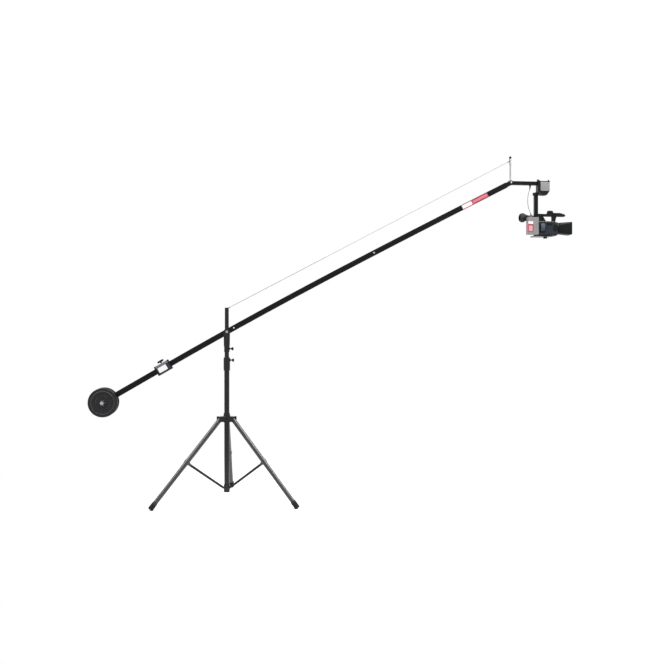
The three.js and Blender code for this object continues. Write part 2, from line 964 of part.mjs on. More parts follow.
function weightPlate() {
  const rim = plateDiameter / 2;
  const recess = rim * plateRim_share;
  const hub = plateHubDiameter / 2;
  const webIn = (plateThickness - plateWeb) / 2;
  const webOut = webIn + plateWeb;
  const bore = barDiameter / 2 + seatGap;
  const edge = (plateThickness - plateWeb) * 0.2;
  return turned(
    [
      [bore, 0],
      [hub, 0],
      [hub, webIn],
      [recess - edge, webIn],
      [recess, 0],
      [rim - edge, 0],
      [rim, edge],
      [rim, plateThickness - edge],
      [rim - edge, plateThickness],
      [recess, plateThickness],
      [recess - edge, webOut],
      [hub, webOut],
      [hub, plateThickness],
      [bore, plateThickness],
      [bore, 0],
    ],
    wideSides,
  );
}

function starNut() {
  const shape = new THREE.Shape();
  const steps = starLobes * 6;
  const radius = starNutDiameter / 2;
  for (let i = 0; i < steps; i += 1) {
    const turn = (i / steps) * Math.PI * 2;
    const r = radius * (1 - 0.14 * (1 - Math.cos(turn * starLobes)));
    if (i === 0) shape.moveTo(r * Math.cos(turn), r * Math.sin(turn));
    else shape.lineTo(r * Math.cos(turn), r * Math.sin(turn));
  }
  shape.closePath();
  return cut(
    plateY(shape, 0, starNutThickness),
    rodY(barDiameter / 2 + seatGap, -overrun, starNutThickness + overrun),
  );
}

[['near', Math.PI], ['far', 0]].forEach(([side, turn]) => {
  const outward = group(weights);
  outward.rotation.z = turn;
  piece(`weight_plate_${side}`, weightPlate(), castIron, group(outward, 0, plateIn, 0));
  piece(`weight_nut_${side}`, starNut(), brightSteel, group(outward, 0, plateOut + seatGap, 0));
});

// Controller held by a clamp block on the boom
const controller = onBoom(-controllerAlong);
const blockOuter = boomSize / 2 + seatGap + clampBlockWall;
const blockHalf = clampBlockLength / 2;
const boomHole = boomSize / 2 + seatGap;
const teeScrewRadius = knobStemRadius;
piece(
  'controller_clamp',
  cut(
    join(
      block(-blockHalf, blockHalf, -blockOuter, blockOuter, -blockOuter, blockOuter),
      rodZ(bossRadius, boomHole, blockOuter + bossLength),
    ),
    block(-blockHalf - overrun, blockHalf + overrun, -boomHole, boomHole, -boomHole, boomHole),
    rodZ(teeScrewRadius + turnGap, 0, blockOuter + bossLength + overrun, smallSides),
  ),
  blackPaint,
  controller,
);
const teeBar = rodX(teeDiameter / 2, -teeLength / 2, teeLength / 2, smallSides);
piece(
  'controller_tee_handle',
  join(
    rodZ(teeScrewRadius, boomSize / 2 + seatGap, teeHeight, smallSides),
    teeBar.translate(0, 0, teeHeight),
  ),
  blackPlastic,
  controller,
);
const bracketFace = -blockOuter - seatGap;
const boxHalf = controllerLength / 2;
const controllerHalfHeight = controllerHeight / 2;
const boxFace = bracketFace - controllerDepth;
piece(
  'controller_bracket',
  join(
    block(-boxHalf, boxHalf, bracketFace - controllerBackPlate, bracketFace,
      -controllerHalfHeight, controllerHalfHeight),
    block(-boxHalf, -boxHalf + controllerEndPlate, boxFace, bracketFace,
      -controllerHalfHeight, controllerHalfHeight),
    block(boxHalf - controllerEndPlate, boxHalf, boxFace, bracketFace,
      -controllerHalfHeight, controllerHalfHeight),
  ),
  blackPlastic,
  controller,
);
const unitHalf = boxHalf - controllerEndPlate - seatGap;
const unitRound = controllerEndPlate / 2;
piece(
  'controller_unit',
  extruded(
    roundedBox(controllerDepth - controllerBackPlate - seatGap, controllerHeight - seatGap, unitRound),
    2 * unitHalf,
  )
    .rotateX(Math.PI / 2)
    .rotateZ(Math.PI / 2)
    .translate(-unitHalf, (boxFace + bracketFace - controllerBackPlate - seatGap) / 2, 0),
  greyAluminium,
  controller,
);

// Tip fork at the boom's front end
const tip = onBoom(boomFrontLength);
const forkInner = armSize / 2 + swingGap;
const forkOuter = forkInner + forkPlate;
const forkShape = new THREE.Shape();
forkShape.absarc(0, 0, forkEyeRadius, -Math.PI / 2, Math.PI / 2);
forkShape.lineTo(-forkFlangeSetback + seatGap, forkEyeRadius);
forkShape.lineTo(-forkFlangeSetback + seatGap, -forkEyeRadius);
forkShape.closePath();
piece(
  'tip_fork',
  cut(
    join(
      extruded(roundedBox(sleeveSize, sleeveSize, boomCorner), forkPlug + forkFlange)
        .rotateY(Math.PI / 2)
        .translate(-forkFlangeSetback - forkPlug, 0, 0),
      block(-forkFlangeSetback + seatGap, -forkFlangeSetback + forkFlange, -forkOuter, forkOuter,
        -forkEyeRadius, forkEyeRadius),
      plateY(forkShape, forkInner, forkOuter),
      plateY(forkShape, -forkOuter, -forkInner),
    ),
    rodY(tipBoltDiameter / 2 + seatGap, -boomSize, boomSize, smallSides),
  ),
  blackPaint,
  tip,
);
piece(
  'tip_bolt',
  crossBolt(tipBoltDiameter / 2, forkOuter, tipBoltDiameter * 0.85, tipBoltDiameter * 0.6),
  brightSteel,
  tip,
);

// The level arm keeps its own level, so it hangs in a group that undoes the boom's slope
const tipPlace = new THREE.Vector3(boomFrontLength, 0, bow(boomFrontLength))
  .applyAxisAngle(new THREE.Vector3(0, 1, 0), -boomSlope);
const arm = group(crane, tipPlace.x, 0, pivotHeight + tipPlace.z);
const armHalf = armSize / 2;
const armEnd = armReach + bracketBack - seatGap;
const glandPlace = armReach - glandBack;
piece(
  'level_arm',
  cut(
    join(
      squareTube(armSize, armWall, armCorner, -armTail, armEnd),
      rodY(tipBoltDiameter * 0.8, armWall / 2 - armHalf, armHalf - armWall / 2),
      rodZ(glandRadius, -armHalf - glandLength, -armHalf + armWall, smallSides)
        .translate(glandPlace, 0, 0),
      rodZ(glandRadius * 1.3, -armHalf - glandLength * 0.4, -armHalf + armWall, 6)
        .translate(glandPlace, 0, 0),
    ),
    rodY(tipBoltDiameter / 2 + turnGap, -armSize, armSize, smallSides),
  ),
  blackPaint,
  arm,
);

// Front mast with its slotted head and knob
const headHalf = frontHeadWidth / 2;
const headTop = mastHeight + mastTopAboveWire * 2;
const headBottom = headTop - frontHeadLength;
const mastFoot = armHalf + seatGap;
piece(
  'front_mast',
  join(
    cut(
      join(
        rodZ(frontMastFootDiameter / 2, mastFoot, mastFoot + frontMastFoot),
        rodZ(frontMastDiameter / 2, mastFoot, headBottom + overrun, smallSides),
        block(-frontHeadDepth / 2, frontHeadDepth / 2, -headHalf, headHalf, headBottom, headTop),
      ),
      block(-headHalf - overrun, headHalf + overrun, -wireSlot, wireSlot,
        mastHeight - frontHeadWidth, headTop + overrun),
    ),
    rodY(wirePinDiameter / 2, -headHalf - wirePinDiameter / 2, headHalf + wirePinDiameter / 2,
      smallSides).translate(0, 0, mastHeight),
    rodZ(frontKnobDiameter / 2, headTop - seatGap, headTop + frontKnobHeight),
  ),
  silverAluminium,
  arm,
);

// Levelling wire from the rear mast's pin to the front mast's pin
const wireLength = Math.hypot(tipPlace.x, tipPlace.z);
const wireSlope = Math.atan2(tipPlace.z, tipPlace.x);
const wire = group(crane, 0, 0, pivotHeight + mastHeight, -wireSlope);
const wireStep = wireLength * wireThickLength_share;
const eyeHole = rodY(wirePinDiameter / 2 + turnGap, -wireEyeThickness, wireEyeThickness, smallSides);
const eye = rodY(wireEyeRadius, -wireEyeThickness / 2, wireEyeThickness / 2);
const wireRun = turnedX(
  [
    [0, wireEyeRadius * 0.6],
    [wireThickDiameter, wireEyeRadius * 0.6],
    [wireThickDiameter, wireEyeRadius * 3],
    [wireThickDiameter / 2, wireEyeRadius * 4],
    [wireThickDiameter / 2, wireStep],
    [wireThinDiameter / 2, wireStep + wireEyeRadius],
    [wireThinDiameter / 2, wireLength - wireEyeRadius * 4],
    [wireThickDiameter, wireLength - wireEyeRadius * 3],
    [wireThickDiameter, wireLength - wireEyeRadius * 0.6],
    [0, wireLength - wireEyeRadius * 0.6],
  ],
  8,
);
piece(
  'level_wire',
  cut(
    join(wireRun, eye, eye.clone().translate(wireLength, 0, 0)),
    eyeHole,
    eyeHole.clone().translate(wireLength, 0, 0),
  ),
  silverAluminium,
  wire,
);

// Pan unit at the level arm's end. Its group is on the drop post's axis.
const pan = group(arm, armReach, 0, 0);
const footTop = -bracketDrop;
const footBottom = footTop - footDiscThickness;
piece(
  'pan_bracket',
  cut(
    join(
      block(bracketBack, bracketBack + bracketPlate, -bracketHalfWidth, bracketHalfWidth,
        footBottom, bracketTopRise),
      block(bracketBack, bracketFront, bracketHalfWidth - bracketPlate, bracketHalfWidth,
        -bracketSideDrop, bracketTopRise),
      block(bracketBack, bracketFront, -bracketHalfWidth, -bracketHalfWidth + bracketPlate,
        -bracketSideDrop, bracketTopRise),
      block(bracketBack, bracketFront, -bracketHalfWidth, bracketHalfWidth,
        bracketTopRise - bracketPlate, bracketTopRise),
      block(bracketBack, bracketFront, -bracketHalfWidth, bracketHalfWidth,
        -bracketSideDrop, -bracketSideDrop + bracketPlate),
      rodZ(footDiscRadius, footBottom, footTop),
      rodZ(thumbKnobRadius * 0.5, bracketTopRise - bracketPlate / 2,
        bracketTopRise + thumbKnobHeight / 2, smallSides).translate(bracketBack * 2, 0, 0),
      rodZ(thumbKnobRadius, bracketTopRise + thumbKnobHeight * 0.3,
        bracketTopRise + thumbKnobHeight).translate(bracketBack * 2, 0, 0),
    ),
    rodZ(postShaftRadius + turnGap, footBottom - overrun, footTop + overrun),
    rodZ(postRingRadius + turnGap, footTop, footTop + postRingHeight * 3),
  ),
  blackPaint,
  pan,
);

const boxBack = bracketFront + seatGap;
const boxFront = boxBack + panBoxLength;
const boxBottom = panBoxRise - panBoxHeight;
piece(
  'pan_housing',
  cut(
    block(boxBack, boxFront, -panBoxHalfWidth, panBoxHalfWidth, boxBottom, panBoxRise),
    block(boxBack + shellWall, boxFront - shellWall, -panBoxHalfWidth + shellWall,
      panBoxHalfWidth - shellWall, boxBottom - overrun, panBoxRise - shellWall),
  ),
  silverAluminium,
  pan,
);
const gearShape = new THREE.Shape();
const coverTop = boxBottom - seatGap;
gearShape.moveTo(gearCoverBottomBack, coverTop - gearCoverHeight);
gearShape.lineTo(gearCoverBottomFront, coverTop - gearCoverHeight);
gearShape.lineTo(gearCoverTopFront, coverTop);
gearShape.lineTo(gearCoverTopBack, coverTop);
gearShape.closePath();
piece(
  'pan_gear_cover',
  plateY(gearShape, -panBoxHalfWidth, panBoxHalfWidth),
  blackPlastic,
  pan,
);
const motorBottom = coverTop + seatGap;
piece(
  'pan_motor',
  join(
    rodZ(panMotorRadius, motorBottom, motorBottom + panMotorLength),
    rodZ(panMotorRadius * 0.4, motorBottom, motorBottom + panMotorLength * 1.1, smallSides),
  ),
  greyAluminium,
  group(pan, (boxBack + boxFront) / 2, 0, 0),
);
piece(
  'pan_top_bar',
  join(
    block(bracketFront + seatGap, topBarFront, -topBarHalfWidth, topBarHalfWidth, topBarRise,
      topBarRise + topBarThickness),
    block(bracketFront + seatGap, bracketFront + seatGap + topBarThickness, -topBarHalfWidth,
      topBarHalfWidth, panBoxRise + seatGap, topBarRise + topBarThickness),
    rodZ(topScrewRadius * 0.6, panBoxRise + seatGap, topBarRise + topBarThickness * 2, smallSides)
      .translate(topScrewPlace, 0, 0),
    rodZ(topScrewRadius, topBarRise + topBarThickness * 1.5, topBarRise + topBarThickness * 3.5,
      smallSides).translate(topScrewPlace, 0, 0),
  ),
  blackPaint,
  pan,
);

// Drop post: a flange and shaft in the bracket's foot, and a square tube down to the tilt unit
const flangeTop = footBottom - seatGap;
const flangeBottom = flangeTop - postFlangeThickness;
const ringBottom = footTop + seatGap;
piece(
  'drop_post',
  join(
    squareTube(postSize, armWall, armCorner, 0, postBottomDrop + flangeBottom + overrun / 2)
      .rotateY(Math.PI / 2)
      .translate(0, 0, flangeBottom + overrun / 2),
    rodZ(footDiscRadius, flangeBottom, flangeTop),
    rodZ(postShaftRadius, flangeTop - overrun / 2, ringBottom + postRingHeight, smallSides),
    rodZ(postRingRadius, ringBottom, ringBottom + postRingHeight),
  ),
  blackPaint,
  pan,
);

// Tilt unit: a shell open towards the camera, its cover, a motor with a worm and the wheel
const tiltTop = -postBottomDrop - seatGap;
const tiltBottom = tiltTop - tiltBoxHeight;
const axisHeight = -tiltAxisDrop;
const tiltShape = new THREE.Shape();
tiltShape.moveTo(-tiltBoxBack, tiltBottom);
tiltShape.lineTo(tiltBoxFront, tiltBottom);
tiltShape.lineTo(tiltBoxFront, tiltTop);
tiltShape.lineTo(-tiltBoxBack, tiltTop);
tiltShape.closePath();
piece(
  'tilt_housing',
  join(
    cut(
      plateY(tiltShape, -tiltBoxNear, tiltBoxFar),
      block(-tiltBoxBack + shellWall, tiltBoxFront - shellWall, -tiltBoxNear + shellWall,
        tiltBoxFar + overrun, tiltBottom + shellWall, tiltTop - shellWall),
    ),
    rodZ(inletRadius, tiltTop - shellWall / 2, tiltTop + inletHeight, smallSides)
      .translate(-inletBack, 0, 0),
  ),
  silverAluminium,
  pan,
);
const coverNear = tiltBoxFar + seatGap;
const coverFar = coverNear + tiltCoverThickness;
piece(
  'tilt_cover',
  cut(
    plateY(tiltShape, coverNear, coverFar),
    rodY(tiltShaftRadius + turnGap, coverNear - overrun, coverFar + overrun)
      .translate(-tiltAxisBack, 0, axisHeight),
  ),
  blackPlastic,
  pan,
);
const wormBack = tiltAxisBack + tiltWheelRadius + wormRadius + turnGap;
const motorSeat = tiltBottom + shellWall + seatGap;
piece(
  'tilt_motor',
  join(
    rodZ(tiltMotorRadius, motorSeat, motorSeat + tiltMotorLength / 2),
    rodZ(wormRadius, motorSeat, tiltTop - shellWall - seatGap, smallSides),
  ),
  greyAluminium,
  group(pan, -wormBack, 0, 0),
);

const plateNear = coverFar + seatGap + swingGap;
const plateFar = plateNear + plateSideThickness;
const tilt = group(pan, -tiltAxisBack, 0, axisHeight);
piece(
  'tilt_shaft',
  join(
    rodY(tiltShaftRadius, -tiltBoxNear + shellWall + seatGap, plateNear - seatGap),
    rodY(tiltWheelRadius, -tiltWheelThickness / 2, tiltWheelThickness / 2),
  ),
  brightSteel,
  tilt,
);

// Camera plate: a side on the shaft's end and a platform under the camera
const platformTop = tiltAxisDrop - cameraBottomDrop - seatGap;
const platformBottom = platformTop - platformThickness;
const sideShape = new THREE.Shape();
sideShape.absarc(0, 0, plateSideHalfWidth, 0, Math.PI);
sideShape.lineTo(platformBack, platformBottom);
sideShape.lineTo(platformRoot, platformBottom);
sideShape.lineTo(platformRoot, platformTop);
sideShape.closePath();
const platformWidth = cameraNear + cameraWidth * 0.85;
const slotHalf = screwRadius + turnGap * 2;
const cameraMiddle = cameraNear + cameraWidth / 2;
piece(
  'camera_plate',
  cut(
    join(
      plateY(sideShape, plateNear, plateFar),
      block(platformBack, platformFront, plateNear, platformWidth, platformBottom, platformTop),
    ),
    block(platformSlotBack, platformSlotFront, cameraMiddle - slotHalf, cameraMiddle + slotHalf,
      platformBottom - overrun, platformTop + overrun),
  ),
  blackPaint,
  tilt,
);

// The camera's group keeps the post's axis as its X origin and the arm's middle as its Z origin
const camera = group(pan);
const knobTop = -cameraBottomDrop - seatGap * 2 - platformThickness;
piece(
  'camera_screw',
  join(
    rodZ(screwKnobRadius, knobTop - screwKnobHeight, knobTop),
    rodZ(screwRadius, knobTop - overrun, -cameraBottomDrop + screwDepth - seatGap, smallSides),
  ),
  brightSteel,
  group(camera, screwPlace, cameraMiddle, 0),
);

const bodyShape = new THREE.Shape();
bodyShape.moveTo(cameraBack + cameraRound, -cameraBottomDrop);
bodyShape.lineTo(cameraFront - cameraRound, -cameraBottomDrop);
bodyShape.absarc(cameraFront - cameraRound, -cameraBottomDrop + cameraRound, cameraRound,
  -Math.PI / 2, 0);
bodyShape.lineTo(cameraFront, -cameraTopDrop - cameraRound * 2);
bodyShape.lineTo(cameraFront - cameraRound * 2, -cameraTopDrop);
bodyShape.lineTo(cameraBack + cameraRound, -cameraTopDrop);
bodyShape.absarc(cameraBack + cameraRound, -cameraTopDrop - cameraRound, cameraRound,
  Math.PI / 2, Math.PI);
bodyShape.absarc(cameraBack + cameraRound, -cameraBottomDrop + cameraRound, cameraRound,
  Math.PI, Math.PI * 1.5);
bodyShape.closePath();
const finderEarShape = new THREE.Shape();
const finderEarRadius = finderRadius / 2;
finderEarShape.absarc(finderPivot, -finderDrop, finderEarRadius, Math.PI / 2, Math.PI * 1.5);
finderEarShape.lineTo(handleBack, -cameraTopDrop - finderEarRadius);
finderEarShape.lineTo(handleFootBack, -cameraTopDrop - finderEarRadius);
finderEarShape.lineTo(handleFootBack, -cameraTopDrop + finderEarRadius / 2);
finderEarShape.closePath();
const earIn = finderRadius + swingGap / 2;
piece(
  'camera_body',
  cut(
    join(
      plateY(bodyShape, cameraNear, cameraNear + cameraWidth),
      plateY(finderEarShape, cameraMiddle + earIn, cameraMiddle + earIn + finderEar),
      plateY(finderEarShape, cameraMiddle - earIn - finderEar, cameraMiddle - earIn),
    ),
    rodZ(screwRadius + seatGap, -cameraBottomDrop - overrun, -cameraBottomDrop + screwDepth,
      smallSides).translate(screwPlace, cameraMiddle, 0),
    rodY(wirePinDiameter / 2 + seatGap, cameraNear, cameraNear + cameraWidth, smallSides)
      .translate(finderPivot, 0, -finderDrop),
  ),
  cameraGrey,
  camera,
);

const handleBottom = -handleTopDrop - handleThickness;
const handleSeat = -cameraTopDrop + seatGap;
const handleShape = new THREE.Shape();
handleShape.moveTo(handleFootBack, handleSeat);
handleShape.lineTo(handleFootBack + handleFootLength, handleSeat);
handleShape.lineTo(handleGapBack, handleBottom);
handleShape.lineTo(handlePostBack, handleBottom);
handleShape.lineTo(handlePostBack, handleSeat);
handleShape.lineTo(handlePostFront, handleSeat);
handleShape.lineTo(handlePostFront + handleThickness / 2, handleBottom);
handleShape.lineTo(handleFront - handleThickness / 2, handleBottom);
handleShape.absarc(handleFront - handleThickness / 2, -handleTopDrop - handleThickness / 2,
  handleThickness / 2, -Math.PI / 2, Math.PI / 2);
handleShape.lineTo(shelfFront, -handleTopDrop + shelfRise);
handleShape.lineTo(shoeFront, -handleTopDrop + shelfRise);
handleShape.lineTo(shoeFront - shoeRise / 4, -handleTopDrop + shoeRise);
handleShape.lineTo(shoeBack + shoeRise / 4, -handleTopDrop + shoeRise);
handleShape.lineTo(shoeBack, -handleTopDrop);
handleShape.lineTo(handleBack, -handleTopDrop);
handleShape.lineTo(handleBack, handleBottom + handleThickness / 2);
handleShape.closePath();
piece(
  'camera_handle',
  plateY(handleShape, cameraMiddle - handleWidth / 2, cameraMiddle + handleWidth / 2),
  blackPlastic,
  camera,
);

// Lens, focus ring and hood, on the lens axis
const lens = group(camera, 0, cameraMiddle, -lensAxisDrop);
const barrelBack = cameraFront + seatGap;
const ringFront = barrelBack + barrelRingLength;
piece(
  'lens_barrel',
  turnedX(
    [
      [0, barrelBack],
      [barrelRingRadius, barrelBack],
      [barrelRingRadius, ringFront],
      [barrelRadius, ringFront],
      [barrelRadius, barrelFront],
      [barrelRadius * 0.86, barrelFront],
      [barrelRadius * 0.8, barrelFront - barrelGlassDepth],
      [0, barrelFront - barrelGlassDepth / 2],
    ],
    wideSides,
  ),
  blackPlastic,
  lens,
);

function hoodBlock(x0, x1, backWidth, backHeight, frontWidth, frontHeight) {
  const box = new THREE.BoxGeometry(1, 1, 1);
  const places = box.attributes.position;
  for (let i = 0; i < places.count; i += 1) {
    const front = places.getX(i) > 0;
    places.setXYZ(
      i,
      front ? x1 : x0,
      places.getY(i) * (front ? frontWidth : backWidth),
      places.getZ(i) * (front ? frontHeight : backHeight),
    );
  }
  return box;
}

const wallTwice = 2 * hoodWall;
piece(
  'lens_hood',
  cut(
    hoodBlock(hoodBack, hoodFront, hoodBackWidth, hoodBackHeight, hoodWidth, hoodHeight),
    hoodBlock(hoodBack + wallTwice, hoodFront + hoodWall, hoodBackWidth - wallTwice,
      hoodBackHeight - wallTwice, hoodWidth - wallTwice + hoodWall / 2,
      hoodHeight - wallTwice + hoodWall / 2),
    rodX(barrelRadius + seatGap, hoodBack - overrun, hoodFront, wideSides),
  ),
  blackPlastic,
  lens,
);

// Viewfinder on its pin, with a rubber eyecup
const finder = group(camera, finderPivot, cameraMiddle, -finderDrop);
const cupBack = -(eyecupEnd + finderPivot);
piece(
  'viewfinder',
  join(
    turnedX([
      [0, -finderTube],
      [finderRadius, -finderTube],
      [finderRadius, finderFrontEnd * 0.6],
      [finderRadius * 0.6, finderFrontEnd],
      [0, finderFrontEnd],
    ]),
    rodY(wirePinDiameter / 2, -earIn - finderEar, earIn + finderEar, smallSides),
    turnedX([
      [0, -finderTube - overrun],
      [finderRadius, -finderTube - overrun / 2],
      [finderRadius, -finderTube + overrun],
      [0, -finderTube + overrun],
    ]),
    cut(
      turnedX([
        [0, -finderTube - overrun / 2],
        [finderRadius * 1.1, -finderTube],
        [eyecupRadius * 0.85, -finderTube - eyecupDepth * 0.4],
        [eyecupRadius, cupBack + eyecupDepth * 0.3],
        [eyecupRadius, cupBack],
        [0, cupBack],
      ]),
      rodX(eyecupBore, cupBack - overrun, cupBack + eyecupDepth),
    ),
  ),
  blackRubber,
  finder,
);

// Hand strap bowed out from the camera's side
const strapShape = new THREE.Shape();
const strapMiddle = (strapTopDrop + strapBottomDrop) / 2;
const strapHalf = (strapBottomDrop - strapTopDrop) / 2;
const strapFace = -cameraNear + seatGap;
strapShape.moveTo(strapFace, strapHalf);
strapShape.quadraticCurveTo(strapFace + strapBulge * 2, 0, strapFace, -strapHalf);
strapShape.lineTo(strapFace, -strapHalf + strapThickness * 2);
strapShape.quadraticCurveTo(strapFace + strapBulge * 2 - strapThickness * 2, 0, strapFace,
  strapHalf - strapThickness * 2);
strapShape.closePath();
piece(
  'hand_strap',
  extruded(strapShape, strapFront - strapBack, { curveSegments: smallSides })
    .rotateX(Math.PI / 2)
    .rotateZ(-Math.PI / 2)
    .translate(strapFront, 0, -strapMiddle),
  strapGrey,
  camera,
);

// Head cable from the level arm's gland down to the tilt unit's inlet
const glandEnd = new THREE.Vector3(-glandBack, 0, -armHalf - glandLength - seatGap);
const inletEnd = new THREE.Vector3(-inletBack, 0, tiltTop + inletHeight + seatGap);
const cablePath = new THREE.CatmullRomCurve3([
  glandEnd,
  glandEnd.clone().add(new THREE.Vector3(0, 0, -headCableDiameter * 2)),
  ...cableRoute.map(([x, z]) => new THREE.Vector3(x, 0, z)),
  inletEnd.clone().add(new THREE.Vector3(0, 0, headCableDiameter * 2)),
  inletEnd,
]);
const cableSection = new THREE.Shape();
for (let i = 0; i < 8; i += 1) {
  const turn = (i / 8) * Math.PI * 2;
  const x = (headCableDiameter / 2) * Math.cos(turn);
  const y = (headCableDiameter / 2) * Math.sin(turn);
  if (i === 0) cableSection.moveTo(x, y);
  else cableSection.lineTo(x, y);
}
cableSection.closePath();
piece(
  'head_cable',
  new THREE.ExtrudeGeometry(cableSection, {
    steps: cableSteps,
    bevelEnabled: false,
    extrudePath: cablePath,
  }),
  greyCable,
  pan,
);

// All heights above are counted from the floor. The origin lies at the column's underside.
crane.position.z = -braceCollarBottom;

export default crane;
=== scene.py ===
# %% [markdown]
# # A camera jib crane on a folding tripod
#
# A jib crane carries a camera at the front end of a long boom and balances it with iron plates at the rear.
# The boom tilts in a yoke on a tripod. A thin wire above the boom makes a parallelogram with it, so the
# short arm at the tip stays level, and a motor head under that arm pans and tilts the camera.
#
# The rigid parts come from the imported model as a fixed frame. This lesson gives each of them its real
# finish, and builds the smaller things that the frame leaves out.

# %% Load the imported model
import json
import math

import bmesh
import bpy
from mathutils import Matrix, Vector

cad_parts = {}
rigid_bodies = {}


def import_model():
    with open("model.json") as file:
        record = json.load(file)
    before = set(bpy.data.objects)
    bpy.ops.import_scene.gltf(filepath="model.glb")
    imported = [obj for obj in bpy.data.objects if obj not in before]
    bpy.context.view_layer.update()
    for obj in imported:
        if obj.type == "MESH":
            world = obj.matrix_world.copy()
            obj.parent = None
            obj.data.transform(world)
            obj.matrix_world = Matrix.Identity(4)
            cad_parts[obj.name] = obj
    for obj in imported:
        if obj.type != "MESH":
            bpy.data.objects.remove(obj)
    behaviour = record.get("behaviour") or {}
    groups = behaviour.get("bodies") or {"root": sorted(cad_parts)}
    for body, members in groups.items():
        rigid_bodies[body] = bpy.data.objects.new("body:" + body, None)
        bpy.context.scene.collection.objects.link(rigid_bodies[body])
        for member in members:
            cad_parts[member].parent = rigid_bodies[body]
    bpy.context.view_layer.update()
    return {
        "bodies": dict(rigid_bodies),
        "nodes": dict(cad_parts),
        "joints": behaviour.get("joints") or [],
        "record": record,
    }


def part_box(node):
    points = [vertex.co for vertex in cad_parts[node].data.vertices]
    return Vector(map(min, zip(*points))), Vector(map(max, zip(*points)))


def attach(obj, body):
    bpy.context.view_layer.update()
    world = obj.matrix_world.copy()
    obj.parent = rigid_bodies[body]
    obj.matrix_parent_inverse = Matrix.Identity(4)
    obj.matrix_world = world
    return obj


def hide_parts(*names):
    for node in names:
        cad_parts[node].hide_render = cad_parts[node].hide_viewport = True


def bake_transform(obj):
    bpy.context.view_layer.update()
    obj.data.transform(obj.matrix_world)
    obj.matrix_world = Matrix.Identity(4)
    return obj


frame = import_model()
nodes = frame["nodes"]

# %% [markdown]
# ## Sizes and places
#
# Blender works in metres, but a crane is drawn in millimetres, and its heights are counted from the floor.
# The model's own origin lies 70.7 mm above the floor, so one function turns a drawing's place into
# Blender's.

# %% Places on the crane
MM = 0.001
FLOOR_Z = -0.0707
PIVOT_HEIGHT = 1223


def at(x, y, z):
    """A place in millimetres, with z counted from the floor, as a Blender place."""
    return Vector((x * MM, y * MM, z * MM + FLOOR_Z))


def new_object(name, data):
    """Put a mesh, a lamp or a camera into the scene."""
    made = bpy.data.objects.new(name, data)
    bpy.context.scene.collection.objects.link(made)
    return made


print("pivot at", at(0, 0, PIVOT_HEIGHT))

# %% [markdown]
# The boom bows a little under its load, as a beam does that is held at the pivot and loaded at its ends.
# What is fixed to it follows that curve, so the curve is worked out once. `s` is the way along the boom
# from the pivot, positive towards the camera.

# %% The boom's curve
BOOM_SLOPE = math.radians(29.32)
BOOM_SIZE = 40
BOOM_FRONT = 2380
BOOM_REAR = 1000
TIP_DROOP = 60
BOW_RATE = TIP_DROOP / BOOM_FRONT**2
ARM_REACH = 197.5


def bow(s):
    reach = BOOM_FRONT if s > 0 else BOOM_REAR
    t = min(abs(s), reach)
    return -BOW_RATE * (t * t * (3 - t / reach) * 0.5 + (abs(s) - t) * reach * 1.5)


def bow_slope(s):
    reach = BOOM_FRONT if s > 0 else BOOM_REAR
    t = min(abs(s), reach)
    return -math.copysign(1, s) * BOW_RATE * (3 * t - 1.5 * t * t / reach)


def along_boom(s):
    """A frame of reference on the boom's middle line: X runs along the boom and Z stands square to it."""
    straight = Matrix.Rotation(-BOOM_SLOPE, 4, "Y") @ Matrix.Translation((s * MM, 0, bow(s) * MM))
    pivot = Matrix.Translation(at(0, 0, PIVOT_HEIGHT))
    return pivot @ straight @ Matrix.Rotation(-math.atan(bow_slope(s)), 4, "Y")


tip = along_boom(BOOM_FRONT).translation
post = Vector((tip.x + ARM_REACH * MM, 0, tip.z))
print("boom tip", tip, "drop post's axis x", round(post.x, 4))

# %% [markdown]
# ## The camera that looks at the crane
#
# The photograph was taken from about six metres, at the height of the crane's pivot, a little from the
# left. The lens follows from the picture, which is 665 points wide and has a focal length of 854 points.

# %% Viewing camera
PICTURE_WIDTH = 665
FOCAL_POINTS = 854
SENSOR_WIDTH = 36
VIEW_TURN = math.radians(-6.5)
VIEW_PLACE = (60, -6197, 1218.5)
FAR_CLIP = 60

viewer_data = bpy.data.cameras.new("viewer")
viewer_data.sensor_width = SENSOR_WIDTH
viewer_data.lens = SENSOR_WIDTH * FOCAL_POINTS / PICTURE_WIDTH
viewer_data.clip_end = FAR_CLIP
viewer = new_object("viewer", viewer_data)
viewer.location = at(*VIEW_PLACE)
looking = Vector((-math.sin(VIEW_TURN), math.cos(VIEW_TURN), 0))
viewer.rotation_mode = "QUATERNION"
viewer.rotation_quaternion = looking.to_track_quat("-Z", "Y")
bpy.context.scene.camera = viewer
print("lens", round(viewer_data.lens, 2), "mm")

# %% [markdown]
# ## Helpers for node trees and colours
#
# Every tree here, for a surface or for a shape, is wired by small functions that add one node each. Colours
# are written as hex codes, as a paint chart gives them, and `linear` turns them into linear light.

# %% Node and colour helpers


def add(tree, kind, inputs=None, **settings):
    """Add one node. `inputs` maps a socket's name or number to a value or to another node's output."""
    node = tree.nodes.new(kind)
    for option, value in settings.items():
        setattr(node, option, value)
    for socket, value in (inputs or {}).items():
        if isinstance(value, bpy.types.NodeSocket):
            tree.links.new(value, node.inputs[socket])
        else:
            node.inputs[socket].default_value = value
    return node


def out(tree, kind, inputs=None, **settings):
    """Add one node and return its first output."""
    return add(tree, kind, inputs, **settings).outputs[0]


def reckon(tree, operation, first, second):
    """One sum of two numbers, or of two nodes' outputs."""
    return out(tree, "ShaderNodeMath", {0: first, 1: second}, operation=operation)


def linear(code):
    """A colour such as #2a2b2d as linear red, green, blue and alpha."""
    channels = [int(code[i : i + 2], 16) / 255 for i in (1, 3, 5)]
    return [c / 12.92 if c <= 0.04045 else ((c + 0.055) / 1.055) ** 2.4 for c in channels] + [1]


print("mid grey is", [round(c, 3) for c in linear("#808080")])

